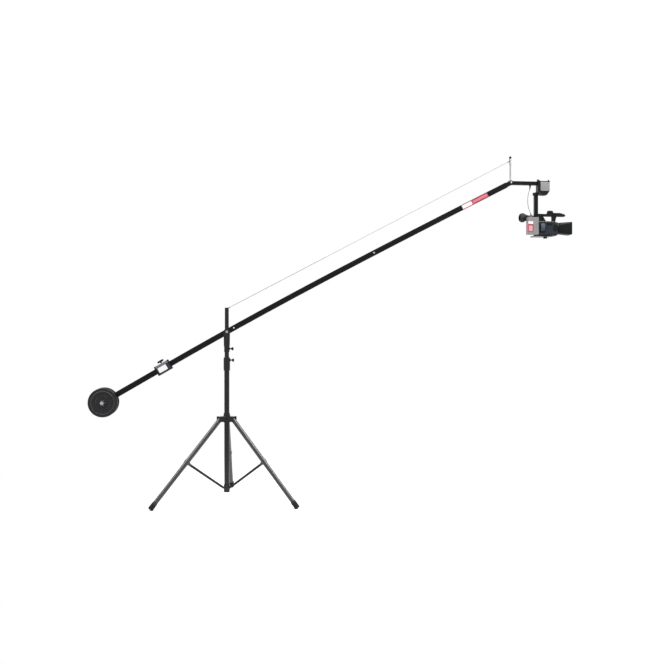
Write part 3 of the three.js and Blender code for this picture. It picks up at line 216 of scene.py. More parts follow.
# %% [markdown]
# ## Studio: floor, background and lamps
#
# The crane stands on a pale floor that fades into a white background. The world, and a far ring of the
# floor, are plain white to the eye and in mirrors, but light the crane with less. That keeps black paint
# black and still lets metal mirror a white room.

# %% White room
ROOM_LIGHT = 0.5


def seen_directly(tree):
    """1 where a ray comes from the camera, a reflection or glass, and 0 where it carries light."""
    path = add(tree, "ShaderNodeLightPath").outputs
    mirror = reckon(tree, "MAXIMUM", path["Is Camera Ray"], path["Is Glossy Ray"])
    return reckon(tree, "MAXIMUM", mirror, path["Is Transmission Ray"])


world = bpy.data.worlds.new("white_room")
bpy.context.scene.world = world
world.use_nodes = True
room = world.node_tree
room.nodes.clear()
light_range = {"Value": seen_directly(room), "To Min": ROOM_LIGHT, "To Max": 1.0}
strength = out(room, "ShaderNodeMapRange", light_range)
sky = out(room, "ShaderNodeBackground", {"Color": linear("#ffffff"), "Strength": strength})
add(room, "ShaderNodeOutputWorld", {"Surface": sky})
print("room light", ROOM_LIGHT)

# %% Floor that fades into the background
FLOOR_RADIUS = 30
FADE = {"From Min": 0.9, "From Max": 2.4}
FLOOR_LIFT = 0.22

floor_material = bpy.data.materials.new("studio_floor_paper")
floor_material.use_nodes = True
tree = floor_material.node_tree
tree.nodes.clear()
floor_place = add(tree, "ShaderNodeTexCoord").outputs["Object"]
distance = add(tree, "ShaderNodeVectorMath", {0: floor_place}, operation="LENGTH").outputs["Value"]
fade = out(tree, "ShaderNodeMapRange", {"Value": distance, **FADE}, interpolation_type="SMOOTHSTEP")
paper = out(tree, "ShaderNodeBsdfDiffuse", {"Color": linear("#f4f4f4")})
lift = out(tree, "ShaderNodeEmission", {"Color": linear("#ffffff"), "Strength": FLOOR_LIFT})
near_paper = out(tree, "ShaderNodeAddShader", {0: paper, 1: lift})
white_wall = out(tree, "ShaderNodeEmission", {"Color": linear("#ffffff"), "Strength": 1.0})
seen = out(tree, "ShaderNodeMixShader", {0: fade, 1: near_paper, 2: white_wall})
floor_shader = out(tree, "ShaderNodeMixShader", {0: seen_directly(tree), 1: paper, 2: seen})
add(tree, "ShaderNodeOutputMaterial", {"Surface": floor_shader})

floor_shape = bmesh.new()
bmesh.ops.create_circle(floor_shape, cap_ends=True, segments=96, radius=FLOOR_RADIUS)
floor_mesh = bpy.data.meshes.new("studio_floor")
floor_shape.to_mesh(floor_mesh)
floor_mesh.materials.append(floor_material)
floor = new_object("studio_floor", floor_mesh)
floor.location = (0, 0, FLOOR_Z)
print("floor at", round(FLOOR_Z, 4))

# %% [markdown]
# Three large soft lamps model the shapes. The one overhead draws the light line along the top of each tube
# and leg; the two at the sides hang high, so their strips lie on the legs and not on flat faces.

# %% Lamps
LAMP_TARGET = Vector((0.6, 0, 1.0))
LAMPS = {
    "overhead": ((0.5, -0.9, 4.4), 1.9, 70),
    "left_side": ((-2.8, -1.4, 4.5), 2.2, 150),
    "right_side": ((3.0, -1.4, 4.7), 1.8, 180),
}
for lamp_name, (place, size, power) in LAMPS.items():
    lamp_data = bpy.data.lights.new(lamp_name, "AREA")
    lamp_data.size = size
    lamp_data.energy = power
    lamp = new_object(lamp_name, lamp_data)
    lamp.location = place
    lamp.rotation_euler = (LAMP_TARGET - Vector(place)).to_track_quat("-Z", "Y").to_euler()
print("lamps:", len(LAMPS))

# %% [markdown]
# ## Materials
#
# Each material is named for what the real part is made of and how its surface was made. A pattern is noise
# whose size is given in millimetres on the real thing, so `(60, 3.0)` is patches of 60 mm with three finer
# layers, and three sizes and a turn make lines that run one way.

# %% Surface helpers
UPRIGHT = (0, 0, 0)
ALONG_BOOM = (0, -BOOM_SLOPE, 0)


def surface(name, **plain):
    """A material with one shader whose plain values are set on its own sockets."""
    material = bpy.data.materials.new(name)
    material.use_nodes = True
    tree = material.node_tree
    tree.nodes.clear()
    shader = add(tree, "ShaderNodeBsdfPrincipled", {k.replace("_", " "): v for k, v in plain.items()})
    add(tree, "ShaderNodeOutputMaterial", {"Surface": shader.outputs[0]})
    return material, tree, shader


def pattern_place(tree, size, turn=UPRIGHT):
    """The place on the part, counted in pattern sizes. `size` is one length in mm or one for each axis."""
    sizes = [size] * 3 if isinstance(size, (int, float)) else size
    place = add(tree, "ShaderNodeTexCoord").outputs["Object"]
    inputs = {"Vector": place, "Rotation": turn, "Scale": [s * MM for s in sizes]}
    return out(tree, "ShaderNodeMapping", inputs, vector_type="TEXTURE")


def noise(tree, size, detail=2.0, turn=UPRIGHT, roughness=0.5):
    place = pattern_place(tree, size, turn)
    inputs = {"Vector": place, "Scale": 1.0, "Detail": detail, "Roughness": roughness}
    return add(tree, "ShaderNodeTexNoise", inputs).outputs["Fac"]


def between(tree, factor, low=0, high=1, start=0.3, end=0.7):
    """A number that goes from low to high as the factor goes from start to end."""
    inputs = {"Value": factor, "From Min": start, "From Max": end, "To Min": low, "To Max": high}
    return out(tree, "ShaderNodeMapRange", inputs)


def blend_colours(tree, factor, first, second):
    """One colour turning into another. Each is a hex code or another node's colour."""
    pair = [linear(c) if isinstance(c, str) else c for c in (first, second)]
    return add(tree, "ShaderNodeMix", {0: factor, 6: pair[0], 7: pair[1]}, data_type="RGBA").outputs[2]


def relief(tree, shader, height, depth, strength):
    """Bump the surface by a height pattern that is `depth` millimetres deep."""
    bump = out(tree, "ShaderNodeBump", {"Height": height, "Strength": strength, "Distance": depth * MM})
    tree.links.new(bump, shader.inputs["Normal"])


def worn_edges(tree, width):
    """Near 1 on edges that a hand or a strap rubs. It compares the true normal with a rounded one."""
    rounded = out(tree, "ShaderNodeBevel", {"Radius": width * MM}, samples=4)
    true_normal = add(tree, "ShaderNodeNewGeometry").outputs["Normal"]
    agreement = add(tree, "ShaderNodeVectorMath", {0: rounded, 1: true_normal}, operation="DOT_PRODUCT")
    edge = between(tree, agreement.outputs["Value"], 1.0, 0.0, 0.86, 0.995)
    patches = between(tree, noise(tree, 6.0, 3.0), 0.0, 1.0, 0.42, 0.6)
    return reckon(tree, "MULTIPLY", edge, patches)


def patterned(name, tone, gloss=None, bump=None, veil=None, worn=None, **plain):
    """A whole material. `tone` is (pattern, colour, colour, ...) and `veil` is (pattern, colour, ...), where
    what follows says how `between` reads the pattern. `gloss` is (pattern, lowest, highest roughness),
    `bump` is (pattern, depth in mm, strength), and `worn` is (width in mm, colour) of the rubbed edges."""
    material, tree, shader = surface(name, **plain)
    pattern, first, second, *reading = tone
    colour = blend_colours(tree, between(tree, noise(tree, *pattern), *reading), first, second)
    if veil:
        pattern, over, *reading = veil
        colour = blend_colours(tree, between(tree, noise(tree, *pattern), *reading), colour, over)
    if worn:
        width, bare = worn
        colour = blend_colours(tree, worn_edges(tree, width), colour, bare)
    tree.links.new(colour, shader.inputs["Base Color"])
    if gloss:
        pattern, low, high = gloss
        tree.links.new(between(tree, noise(tree, *pattern), low, high), shader.inputs["Roughness"])
    if bump:
        pattern, depth, strength = bump
        relief(tree, shader, noise(tree, *pattern), depth, strength)
    return material


print("surface helpers ready")

# %% [markdown]
# ### Powder-coated steel
#
# The stand is steel tube, sprayed with black powder and baked. The powder flows into a skin with a faint
# orange peel and a satin gloss, and greys on the edges. The three legs have a glossier coat, so light from
# above draws a clear strip on them.

# %% Powder-coated steel


def powder_coated(name, dark, light, gloss, specular):
    return patterned(
        name, ((60, 3.0), dark, light), ((18, 3.0), gloss, gloss + 0.08), ((2.6, 2.0), 0.05, 0.35),
        worn=(1.2, "#5b5c5f"), Metallic=0.0, Specular_IOR_Level=specular,
    )


powder_coat = powder_coated("powder_coated_steel_black", "#0b0b0c", "#121213", 0.2, 0.32)
gloss_coat = powder_coated("powder_coated_steel_gloss", "#0f0f10", "#19191b", 0.24, 0.75)
print(powder_coat.name, gloss_coat.name)

# %% [markdown]
# ### Anodised and brushed aluminium
#
# The boom is extruded square tube. The die leaves fine lines along it, and anodising turns it a deep satin
# black that still mirrors light softly. The controller and the motors are bead-blasted and anodised grey;
# the pits are drawn at 0.8 mm so that they show. The two gearbox housings are brushed upright with a belt,
# and the front mast is plain satin tube.

# %% Aluminium
DIE_LINES = ((400, 1.6, 1.6), 3.0, ALONG_BOOM)
PITS = (0.8, 1.0)
STROKES = ((0.9, 0.9, 45), 3.0)
HAZE = (20, 3.0)
anodised_black = patterned(
    "anodised_aluminium_black", (DIE_LINES, "#121215", "#1b1b1e", 0, 1, 0.35, 0.65),
    (((160, 5, 5), 3.0, ALONG_BOOM), 0.34, 0.44), (DIE_LINES, 0.05, 0.4), worn=(0.8, "#5b5c60"),
    Metallic=0.85,
)
anodised_grey = patterned(
    "anodised_aluminium_grey", ((35, 2.0), "#6f6c78", "#7f7c88"), (PITS, 0.42, 0.5), (PITS, 0.04, 0.35),
    worn=(0.8, "#b9b8bd"), Metallic=0.9,
)
brushed_silver = patterned(
    "brushed_aluminium_silver", (STROKES, "#838284", "#a2a1a1", 0, 1, 0.35, 0.65), (STROKES, 0.34, 0.46),
    (STROKES, 0.03, 0.35), veil=((28, 3.0), "#737276", 0, 0.35), Metallic=0.9,
)
satin_aluminium = patterned(
    "satin_aluminium", (HAZE, "#98989a", "#aeaeae"), (HAZE, 0.4, 0.5), (((1.2, 1.2, 30), 2.0), 0.03, 0.3),
    Metallic=0.9,
)
print(anodised_black.name, anodised_grey.name, brushed_silver.name, satin_aluminium.name)

# %% [markdown]
# ### Plated, blackened and cast iron
#
# Bolts and the bar for the weights have bright zinc, which mirrors the room through slightly clouded
# patches; the star nuts and larger bolts are blackened in hot oil. The weight plates are cast in sand and
# dipped in black enamel: the sand's grain shows under the paint, and the rim chips. A thin ring of lighter
# iron on the bead where the rim meets the sunken face is a painted highlight of the light on that edge.

# %% Steel and iron
CLOUDS = (9, 3.0)
OIL = (7, 3.0)
FINE_GRAIN = ((1.4, 2.0), 0.02, 0.25)
SAND = (2.2, 4.0, UPRIGHT, 0.62)
TOOL_MARKS = ((6, 0.6, 6), 2.0)
zinc_steel = patterned(
    "zinc_plated_steel", (CLOUDS, "#97999d", "#b1b2b5"), (CLOUDS, 0.28, 0.42), FINE_GRAIN, Metallic=1.0
)
blackened_steel = patterned(
    "black_oxide_steel", (OIL, "#3a3b3e", "#54555a"), (OIL, 0.24, 0.36), FINE_GRAIN, Metallic=0.9
)
cast_iron = patterned(
    "enamelled_cast_iron", ((24, 3.0), "#131315", "#1b1b1e"), (SAND, 0.38, 0.6), (SAND, 0.35, 0.55),
    worn=(1.6, "#6a6868"), Metallic=0.0, Specular_IOR_Level=0.25,
)
# Lighter grey iron with tool marks: a painted highlight for the ring where the plate's bead catches light.
painted_highlight_iron = patterned(
    "iron_painted_highlight", (TOOL_MARKS, "#5c5c60", "#7c7c80"), bump=(TOOL_MARKS, 0.02, 0.3), Metallic=0.8,
    Roughness=0.35,
)
print(zinc_steel.name, blackened_steel.name, cast_iron.name, painted_highlight_iron.name)

# %% [markdown]
# ### Moulded plastics and rubber
#
# Knobs, brackets, the camera's case and its hood are moulded in steel tools with an etched grain, so they
# have a fine even texture and a soft sheen. Rubber has a bloom of dust that greys it in patches. One recipe
# makes them all, with its own colours, grain and gloss.

# %% Moulded plastics and rubber


def moulded(name, dark, light, grain, depth, gloss, specular=0.5):
    etched = (grain, 2.0, UPRIGHT, 0.6)
    return patterned(
        name, ((grain * 45, 3.0), dark, light), (etched, gloss - 0.05, gloss + 0.05), (etched, depth, 0.5),
        Specular_IOR_Level=specular,
    )


abs_black = moulded("moulded_abs_black", "#0a0b0d", "#101113", 0.7, 0.05, 0.42, 0.14)
abs_camera = moulded("moulded_abs_camera_grey", "#14161b", "#232630", 0.6, 0.05, 0.34, 0.28)
abs_red = moulded("moulded_abs_red", "#8e1f24", "#a52a2e", 0.6, 0.03, 0.35)
rubber_black = moulded("moulded_rubber_black", "#0e0f0f", "#161716", 1.2, 0.05, 0.7, 0.2)
rubber_eyecup = moulded("moulded_rubber_eyecup", "#1a201d", "#2a312d", 0.9, 0.05, 0.55, 0.25)
pvc_black = moulded("etched_pvc_black", "#0d0e10", "#17181a", 0.9, 0.05, 0.4)
cable_jacket = moulded("pvc_cable_jacket_grey", "#6c6d70", "#7c7d7f", 1.0, 0.02, 0.45)
print(abs_black.name, abs_camera.name, rubber_black.name, rubber_eyecup.name)

# %% [markdown]
# ### Wire, nylon, vinyl and glass
#
# The levelling wire is drawn stainless steel. The hand strap is woven: its threads cross over and under, so
# two waves at right angles are multiplied. Films are calendered vinyl, smooth, with slight waves and dust in
# patches, and the controller's panel is polycarbonate with fingerprints. Coated glass looks dark; its colour
# turns from dark green face-on to violet at grazing angles, a painted reflection of the coating.

# %% Wire, nylon, vinyl and glass
DRAWN = ((60, 0.5, 0.5), 2.0, ALONG_BOOM)
stainless_wire = patterned(
    "drawn_stainless_wire", (DRAWN, "#1d1d1b", "#2c2c29"), (DRAWN, 0.28, 0.4), Metallic=0.4,
    Specular_IOR_Level=0.2,
)
woven_nylon, tree, shader = surface("woven_nylon_grey_blue", Roughness=0.8, Sheen_Weight=0.35)
threads = []
for direction in ("X", "Z"):
    inputs = {"Vector": pattern_place(tree, 10.0), "Scale": 1.0, "Distortion": 0.6, "Detail": 1.0}
    wave = add(tree, "ShaderNodeTexWave", inputs, wave_type="BANDS", bands_direction=direction)
    threads.append(wave.outputs["Fac"])
weave = reckon(tree, "MULTIPLY", *threads)
tree.links.new(blend_colours(tree, weave, "#2c3747", "#48576c"), shader.inputs["Base Color"])
relief(tree, shader, weave, 0.4, 0.7)


def vinyl(name, code):
    return patterned(
        name, ((22, 3.0), code, "#8d8a88", 0.0, 0.22, 0.4, 0.75), ((7, 3.0), 0.26, 0.4),
        ((12, 2.0, ALONG_BOOM), 0.08, 0.3), Specular_IOR_Level=0.45, Coat_Weight=0.15,
    )


white_panel = patterned(
    "printed_polycarbonate_white", ((16, 3.0), "#dddcde", "#cbcace", 0.0, 0.3, 0.45, 0.75),
    bump=((9, 2.0), 0.05, 0.25), Specular_IOR_Level=0.5, Roughness=0.3,
)
coated_glass, tree, shader = surface(
    "coated_optical_glass", Roughness=0.03, IOR=1.6, Coat_Weight=1.0, Coat_Roughness=0.02
)
# Colour by viewing angle, dark green face-on to violet at grazing: painted reflection of the lens coating.
facing = add(tree, "ShaderNodeLayerWeight", {"Blend": 0.4}).outputs["Facing"]
painted_coating_reflection = blend_colours(tree, facing, "#0a1210", "#2c1f3d")
smear = between(tree, noise(tree, 11, 3.0), 0.0, 0.12, 0.5, 0.8)
tree.links.new(blend_colours(tree, smear, painted_coating_reflection, "#3a4a48"), shader.inputs["Base Color"])
print(stainless_wire.name, woven_nylon.name, white_panel.name, coated_glass.name)

# %% [markdown]
# ## Finish for every part of the frame
#
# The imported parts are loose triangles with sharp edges. Real edges are broken by a file, a radius in the
# tool or the thickness of paint, and that thin round catches the light. So each part gets live modifiers
# that weld the triangles, take out the lines inside flat faces, round the edges, and shade smoothly across
# the facets of a round tube. A part with very short edges gets a smaller radius, so that its rounds don't
# run into each other.

# %% Smooth shading by angle, as a node tree
SMOOTH_ANGLE = math.radians(40)


def shape_tree(name, **inputs):
    """A node tree that turns geometry into geometry, with the named inputs of the given kinds."""
    tree = bpy.data.node_groups.new(name, "GeometryNodeTree")
    for label, kind in {"Geometry": "Geometry", **inputs}.items():
        tree.interface.new_socket(label.replace("_", " "), in_out="INPUT", socket_type=f"NodeSocket{kind}")
    tree.interface.new_socket("Geometry", in_out="OUTPUT", socket_type="NodeSocketGeometry")
    return tree, add(tree, "NodeGroupInput").outputs


def geometry(tree, kind, domain=None, **inputs):
    """Add a geometry node, whose inputs are named with underscores, and return its first output."""
    options = {"domain": domain} if domain else {}
    return out(tree, f"GeometryNode{kind}", {k.replace("_", " "): v for k, v in inputs.items()}, **options)


smooth_by_angle, given = shape_tree("smooth_by_angle", Angle="Float")
smooth_by_angle.interface.items_tree["Angle"].default_value = SMOOTH_ANGLE
angle = add(smooth_by_angle, "GeometryNodeInputMeshEdgeAngle").outputs["Unsigned Angle"]
greater = {"data_type": "FLOAT", "operation": "GREATER_THAN"}
sharp = out(smooth_by_angle, "FunctionNodeCompare", {0: angle, 1: given["Angle"]}, **greater)
faces = geometry(smooth_by_angle, "SetShadeSmooth", "FACE", Geometry=given["Geometry"], Shade_Smooth=True)
edges = {"Geometry": faces, "Selection": sharp, "Shade_Smooth": False}
edges = geometry(smooth_by_angle, "SetShadeSmooth", "EDGE", **edges)
add(smooth_by_angle, "NodeGroupOutput", {"Geometry": edges})
print("node tree:", smooth_by_angle.name)

# %% Weld a part and round its edges
ROUND_ANGLE = math.radians(46)


def merge_triangles(piece, weld_distance, flat_degrees):
    """Live modifiers that join loose triangles, within a distance in millimetres, into whole flat faces."""
    weld = piece.modifiers.new("weld", "WELD")
    weld.merge_threshold = weld_distance * MM
    flat = piece.modifiers.new("flat_faces", "DECIMATE")
    flat.decimate_type = "DISSOLVE"
    flat.angle_limit = math.radians(flat_degrees)


def soften(piece, radius, clamp=True):
    """Live modifiers that round the edges by a radius in millimetres and shade by angle."""
    if radius:
        bevel = piece.modifiers.new("rounded_edges", "BEVEL")
        bevel.width = radius * MM
        bevel.segments = 2
        bevel.limit_method = "ANGLE"
        bevel.angle_limit = ROUND_ANGLE
        bevel.use_clamp_overlap = clamp
    shade = piece.modifiers.new("smooth_by_angle", "NODES")
    shade.node_group = smooth_by_angle
    if radius:
        weighted = piece.modifiers.new("flat_faces_lead", "WEIGHTED_NORMAL")
        weighted.keep_sharp = True


print("edges over", round(math.degrees(ROUND_ANGLE)), "degrees are rounded")

# %% The finish of each part
FINISHES = {
    powder_coat: "column_tube brace_collar column_clamp leg_collar riser_tube yoke rear_mast leg_1_brace"
    " leg_2_brace leg_3_brace camera_plate",
    gloss_coat: "leg_1 leg_2 leg_3",
    anodised_black: "boom_tube_rear boom_tube_middle boom_tube_front tip_fork level_arm controller_clamp"
    " pan_bracket pan_top_bar drop_post",
    anodised_grey: "boom_sleeve_rear boom_sleeve_front controller_unit pan_motor tilt_motor",
    brushed_silver: "pan_housing tilt_housing",
    satin_aluminium: "front_mast",
    zinc_steel: "boom_bolt_rear boom_bolt_front weight_bar weight_nut_near weight_nut_far tilt_shaft",
    blackened_steel: "camera_screw pivot_bolt tip_bolt",
    cast_iron: "weight_plate_near weight_plate_far",
    abs_black: "clamp_knob collar_lock_knob yoke_lock_knob controller_tee_handle controller_bracket"
    " pan_gear_cover tilt_cover camera_handle lens_barrel lens_hood",
    abs_camera: "camera_body",
    rubber_black: "leg_1_foot leg_2_foot leg_3_foot",
    rubber_eyecup: "viewfinder",
    woven_nylon: "hand_strap",
    cable_jacket: "head_cable",
    stainless_wire: "level_wire",
}
EDGE_RADIUS = 0.6
SMALL_RADII = {
    0: "level_wire head_cable",
    0.15: "leg_collar",
    0.2: "front_mast",
    0.25: "yoke",
    0.3: "hand_strap tip_fork",
    0.35: "level_arm",
    0.4: "brace_collar column_clamp boom_tube_middle leg_1_brace leg_2_brace leg_3_brace leg_1_foot"
    " leg_2_foot leg_3_foot",
}
RADIUS_OF = {name: radius for radius, names in SMALL_RADII.items() for name in names.split()}
WELD_DISTANCE = 0.02
WIDE_WELD = {"leg_collar": 0.3, "tip_fork": 0.3}
FLAT_DEGREES = 0.6
BOWED_FLAT = {"boom_tube_rear": 0.05, "boom_tube_middle": 0.05, "boom_tube_front": 0.05}
for material, names in FINISHES.items():
    for name in names.split():
        part = nodes[name]
        part.data.materials.clear()
        part.data.materials.append(material)
        merge_triangles(part, WIDE_WELD.get(name, WELD_DISTANCE), BOWED_FLAT.get(name, FLAT_DEGREES))
        soften(part, RADIUS_OF.get(name, EDGE_RADIUS), clamp=False)
print("parts with a finish:", sum(len(names.split()) for names in FINISHES.values()), "of", len(nodes))

# %% [markdown]
# ## The head's cable
#
# A thin grey cable leaves a gland under the level arm, hangs in a slack curve behind the drop post and
# enters the top of the tilt box. It is held at both ends, so its whole length is seen here.

# %% Route of the head's cable
CABLE_DIAMETER = 5
CABLE_ROUTE = [(-45, -23.3), (-45, -33.3), (-58, -82), (-63, -124), (-57, -180), (-37, -236), (-37, -246)]
CABLE_STEPS = 8


def round_curve(points, steps):
    """Points on a smooth curve through the given ones, spaced by the square root of their distances."""
    ends = [2 * points[0] - points[1], *points, 2 * points[-1] - points[-2]]
    line = []
    for p0, p1, p2, p3 in zip(ends, ends[1:], ends[2:], ends[3:]):
        t1 = (p1 - p0).length ** 0.5
        t2 = t1 + (p2 - p1).length ** 0.5
        t3 = t2 + (p3 - p2).length ** 0.5
        for i in range(steps):
            t = t1 + (t2 - t1) * i / steps
            a1 = p0.lerp(p1, t / t1)
            a2 = p1.lerp(p2, (t - t1) / (t2 - t1))
            a3 = p2.lerp(p3, (t - t2) / (t3 - t2))
            b1 = a1.lerp(a2, t / t2)
            b2 = a2.lerp(a3, (t - t1) / (t3 - t1))
            line.append(b1.lerp(b2, (t - t1) / (t2 - t1)))
    return [*line, points[-1]]


cable_points = [Vector((post.x + x * MM, 0, post.z + z * MM)) for x, z in CABLE_ROUTE]
cable_line = round_curve(cable_points, CABLE_STEPS)

# %% [markdown]
# A tube along a path is one of the shapes that Geometry Nodes make best: a line of mesh edges becomes a
# curve, and a circle is swept along it. The tree has inputs for the tube's radius, its sides and its
# material, and the result is turned into a plain mesh.

# %% Tube along a path, as a node tree


def finish_tree(tree, copies, material=None):
    """Realise the copies, give them the material input and connect the output."""
    whole = geometry(tree, "RealizeInstances", Geometry=copies)
    if material:
        whole = geometry(tree, "SetMaterial", Geometry=whole, Material=material)
    add(tree, "NodeGroupOutput", {"Geometry": whole})
    print("node tree:", tree.name)


tube_along_path, given = shape_tree("tube_along_path", Radius="Float", Sides="Int", Material="Material")
path = geometry(tube_along_path, "MeshToCurve", Mesh=given["Geometry"])
ring = geometry(tube_along_path, "CurvePrimitiveCircle", Resolution=given["Sides"], Radius=given["Radius"])
tube = geometry(tube_along_path, "CurveToMesh", Curve=path, Profile_Curve=ring, Fill_Caps=True)
smooth = geometry(tube_along_path, "SetShadeSmooth", Geometry=tube, Shade_Smooth=True)
finish_tree(tube_along_path, smooth, given["Material"])

# %% Grow a shape with a node tree and keep it as a plain mesh


def grown(name, mesh, tree, values):
    """Run a node tree on a mesh and return the result as a new object with a plain mesh."""
    seed = new_object(name, mesh)
    nodes_modifier = seed.modifiers.new("grow", "NODES")
    nodes_modifier.node_group = tree
    for item in tree.interface.items_tree:
        if item.in_out == "INPUT" and item.name in values:
            nodes_modifier[item.identifier] = values[item.name]
    evaluated = seed.evaluated_get(bpy.context.evaluated_depsgraph_get())
    plain = bpy.data.meshes.new_from_object(evaluated)
    plain.name = name
    bpy.data.objects.remove(seed)
    return new_object(name, plain)


path_mesh = bpy.data.meshes.new("path")
path_mesh.from_pydata(cable_line, [(i, i + 1) for i in range(len(cable_line) - 1)], [])
cable_values = {"Radius": CABLE_DIAMETER / 2 * MM, "Sides": 16, "Material": cable_jacket}
head_cable = grown("head_cable_jacket", path_mesh, tube_along_path, cable_values)
print(head_cable.name, "has", len(head_cable.data.polygons), "faces")

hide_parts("head_cable")
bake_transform(head_cable)

# %% [markdown]
# ## Shapes of our own
#
# The frame's parts have the right outlines, but they are kept plain. The pieces below add what the eye
# looks for: rims, knobs, films, screws, the camcorder's soft forms. Nearly all come from two moves, a
# profile spun about an axis and an outline carried through several sections. Both sweep rings of points
# into one closed skin, in true size.

# %% From rings of points to a piece on a body
TOUCHING = 1e-6
FACING_Y = Matrix.Rotation(-math.pi / 2, 4, "X")
FACING_NEAR = Matrix.Rotation(math.pi / 2, 4, "X")
FACING_FRONT = Matrix.Rotation(math.pi / 2, 4, "Y")
FACING_BACK = Matrix.Rotation(-math.pi / 2, 4, "Y")
QUARTER_TURN = Matrix.Rotation(math.pi / 2, 4, "Z")
SIDES = (("near", FACING_NEAR), ("far", FACING_Y))


def sweep(shape, rings, loop=False):
    """Add a form through rings of points, capped at both ends or closed as a loop. One point is a pole."""
    rings = [[shape.verts.new(point) for point in ring] for ring in rings]
    if loop:
        rings.append(rings[0])
    for low, high in zip(rings, rings[1:]):
        count = max(len(low), len(high))
        for i in range(count):
            j = (i + 1) % count
            corners = [low[i % len(low)], low[j % len(low)], high[j % len(high)], high[i % len(high)]]
            corners = list(dict.fromkeys(corners))
            if len(corners) > 2:
                shape.faces.new(corners)
    if not loop and len(rings[0]) > 1:
        shape.faces.new(rings[0])
        shape.faces.new(rings[-1])


def spin(shape, profile, frame, sides=48, lobes=0, depth=0.0):
    """Add a turned form. `profile` lists (radius, height) in mm about the frame's Z axis, from axis to axis
    or as a closed loop. With lobes, the outside dips that many times by a share of its radius."""
    widest = max(radius for radius, _ in profile)
    rings = []
    for radius, height in profile:
        ring = []
        for i in range(sides if radius > TOUCHING else 1):
            turn = math.tau * i / sides
            dip = depth * (1 - math.cos(lobes * turn)) / 2 * (radius / widest) ** 3
            r = radius * (1 - dip) * MM
            ring.append(frame @ Vector((r * math.cos(turn), r * math.sin(turn), height * MM)))
        rings.append(ring)
    sweep(shape, rings, loop=len(rings[0]) > 1)


def rounded(x0, x1, z0, z1, radius, steps=6):
    """Points round a rectangle with round corners, in mm, counted the same way whatever its size."""
    points = []
    for x, z, start in ((x1, z1, 0), (x0, z1, 90), (x0, z0, 180), (x1, z0, 270)):
        cx = x - math.copysign(radius, x - (x0 + x1) / 2)
        cz = z - math.copysign(radius, z - (z0 + z1) / 2)
        for i in range(steps + 1):
            turn = math.radians(start + 90 * i / steps)
            points.append((cx + radius * math.cos(turn), cz + radius * math.sin(turn)))
    return points


def ring_points(outline, depth, frame):
    return [frame @ (Vector((x, depth, z)) * MM) for x, z in outline]


def slab(shape, outline, low, high, frame):
    """Add a flat plate, thick from low to high along the frame's Y axis. The outline lists (x, z) in mm."""
    sweep(shape, [ring_points(outline, depth, frame) for depth in (low, high)])


def piece(name, material, body, slot_name, *forms, radius=0.0, replaces=None):
    """Make one mesh of all forms, with its faces turned outwards, and let it ride on a body, in place of the
    frame's part that it replaces. A form is one of the functions above with what it takes after the shape."""
    shape = bmesh.new()
    for form, *details in forms:
        form(shape, *details)
    bmesh.ops.remove_doubles(shape, verts=shape.verts, dist=TOUCHING)
    bmesh.ops.recalc_face_normals(shape, faces=shape.faces)
    if shape.calc_volume(signed=True) < 0:
        bmesh.ops.reverse_faces(shape, faces=shape.faces)
    mesh = bpy.data.meshes.new(name)
    shape.to_mesh(mesh)
    shape.free()
    mesh.materials.append(material)
    made = new_object(name, mesh)
    soften(made, radius)
    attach(made, body)
    if replaces:
        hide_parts(replaces)
    return made


def by_post(x=0, y=0, z=0):
    """A frame of reference counted in mm from the level arm's middle line over the drop post."""
    return Matrix.Translation(post + Vector((x, y, z)) * MM)


print("shape helpers ready")

# %% [markdown]
# ## Counterweights
#
# Each iron plate is cast and then turned: a thick rim with a rounded edge, a narrow bead where the rim
# meets the sunken face, and a hub. The real plate's pattern was revolved too, so its profile is drawn point
# by point and spun. A star nut with six lobes and a bright hub holds it on the bar.

# %% Iron plates
PLATE_THICK = 28
PLATE_PROFILE = [
    (12.6, 1.0), (14, 0), (26, 0), (27.5, 1.5), (28.5, 5.2), (48, 5.8), (49, 7.4), (51, 7.4), (52, 5.8),
    (73, 5.4), (76, 4.6), (77.5, 1.6), (79.5, 0.2), (81.0, 0.2), (83, 2.4), (96, 1.6), (100, 2.4),
    (102.3, 4.4), (103, 7.5),
]
INNER_FACE = [(r, PLATE_THICK - h) for r, h in reversed(PLATE_PROFILE)]
RING_PROFILE = [(79.2, 0.3), (79.6, -0.3), (80.8, -0.3), (81.2, 0.3), (81.2, 1.0), (79.2, 1.0), (79.2, 0.3)]
bar = Matrix.Translation(along_boom(-BOOM_REAR).translation)


def on_bar(node, outward):
    """A frame of reference on the weights' bar, at a node's inner face, with Z outwards."""
    low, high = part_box(node)
    return bar @ outward @ Matrix.Translation((0, 0, min(abs(low.y), abs(high.y))))


for side, outward in SIDES:
    place = on_bar(f"weight_plate_{side}", outward)
    revolved = (spin, PLATE_PROFILE + INNER_FACE, place, 96)
    piece(f"iron_plate_{side}", cast_iron, "boom", "iron", revolved, replaces=f"weight_plate_{side}")
    outer_face = place @ Matrix.Translation((0, 0, PLATE_THICK * MM)) @ Matrix.Scale(-1, 4, (0, 0, 1))
    # A ring of lighter iron on the plate's bead: painted highlight.
    piece(f"ring_painted_highlight_{side}", painted_highlight_iron, "boom", "iron", (spin, RING_PROFILE, outer_face, 96))
    print(side, "plate stands at y", round(place.translation.y / MM, 2), "mm")

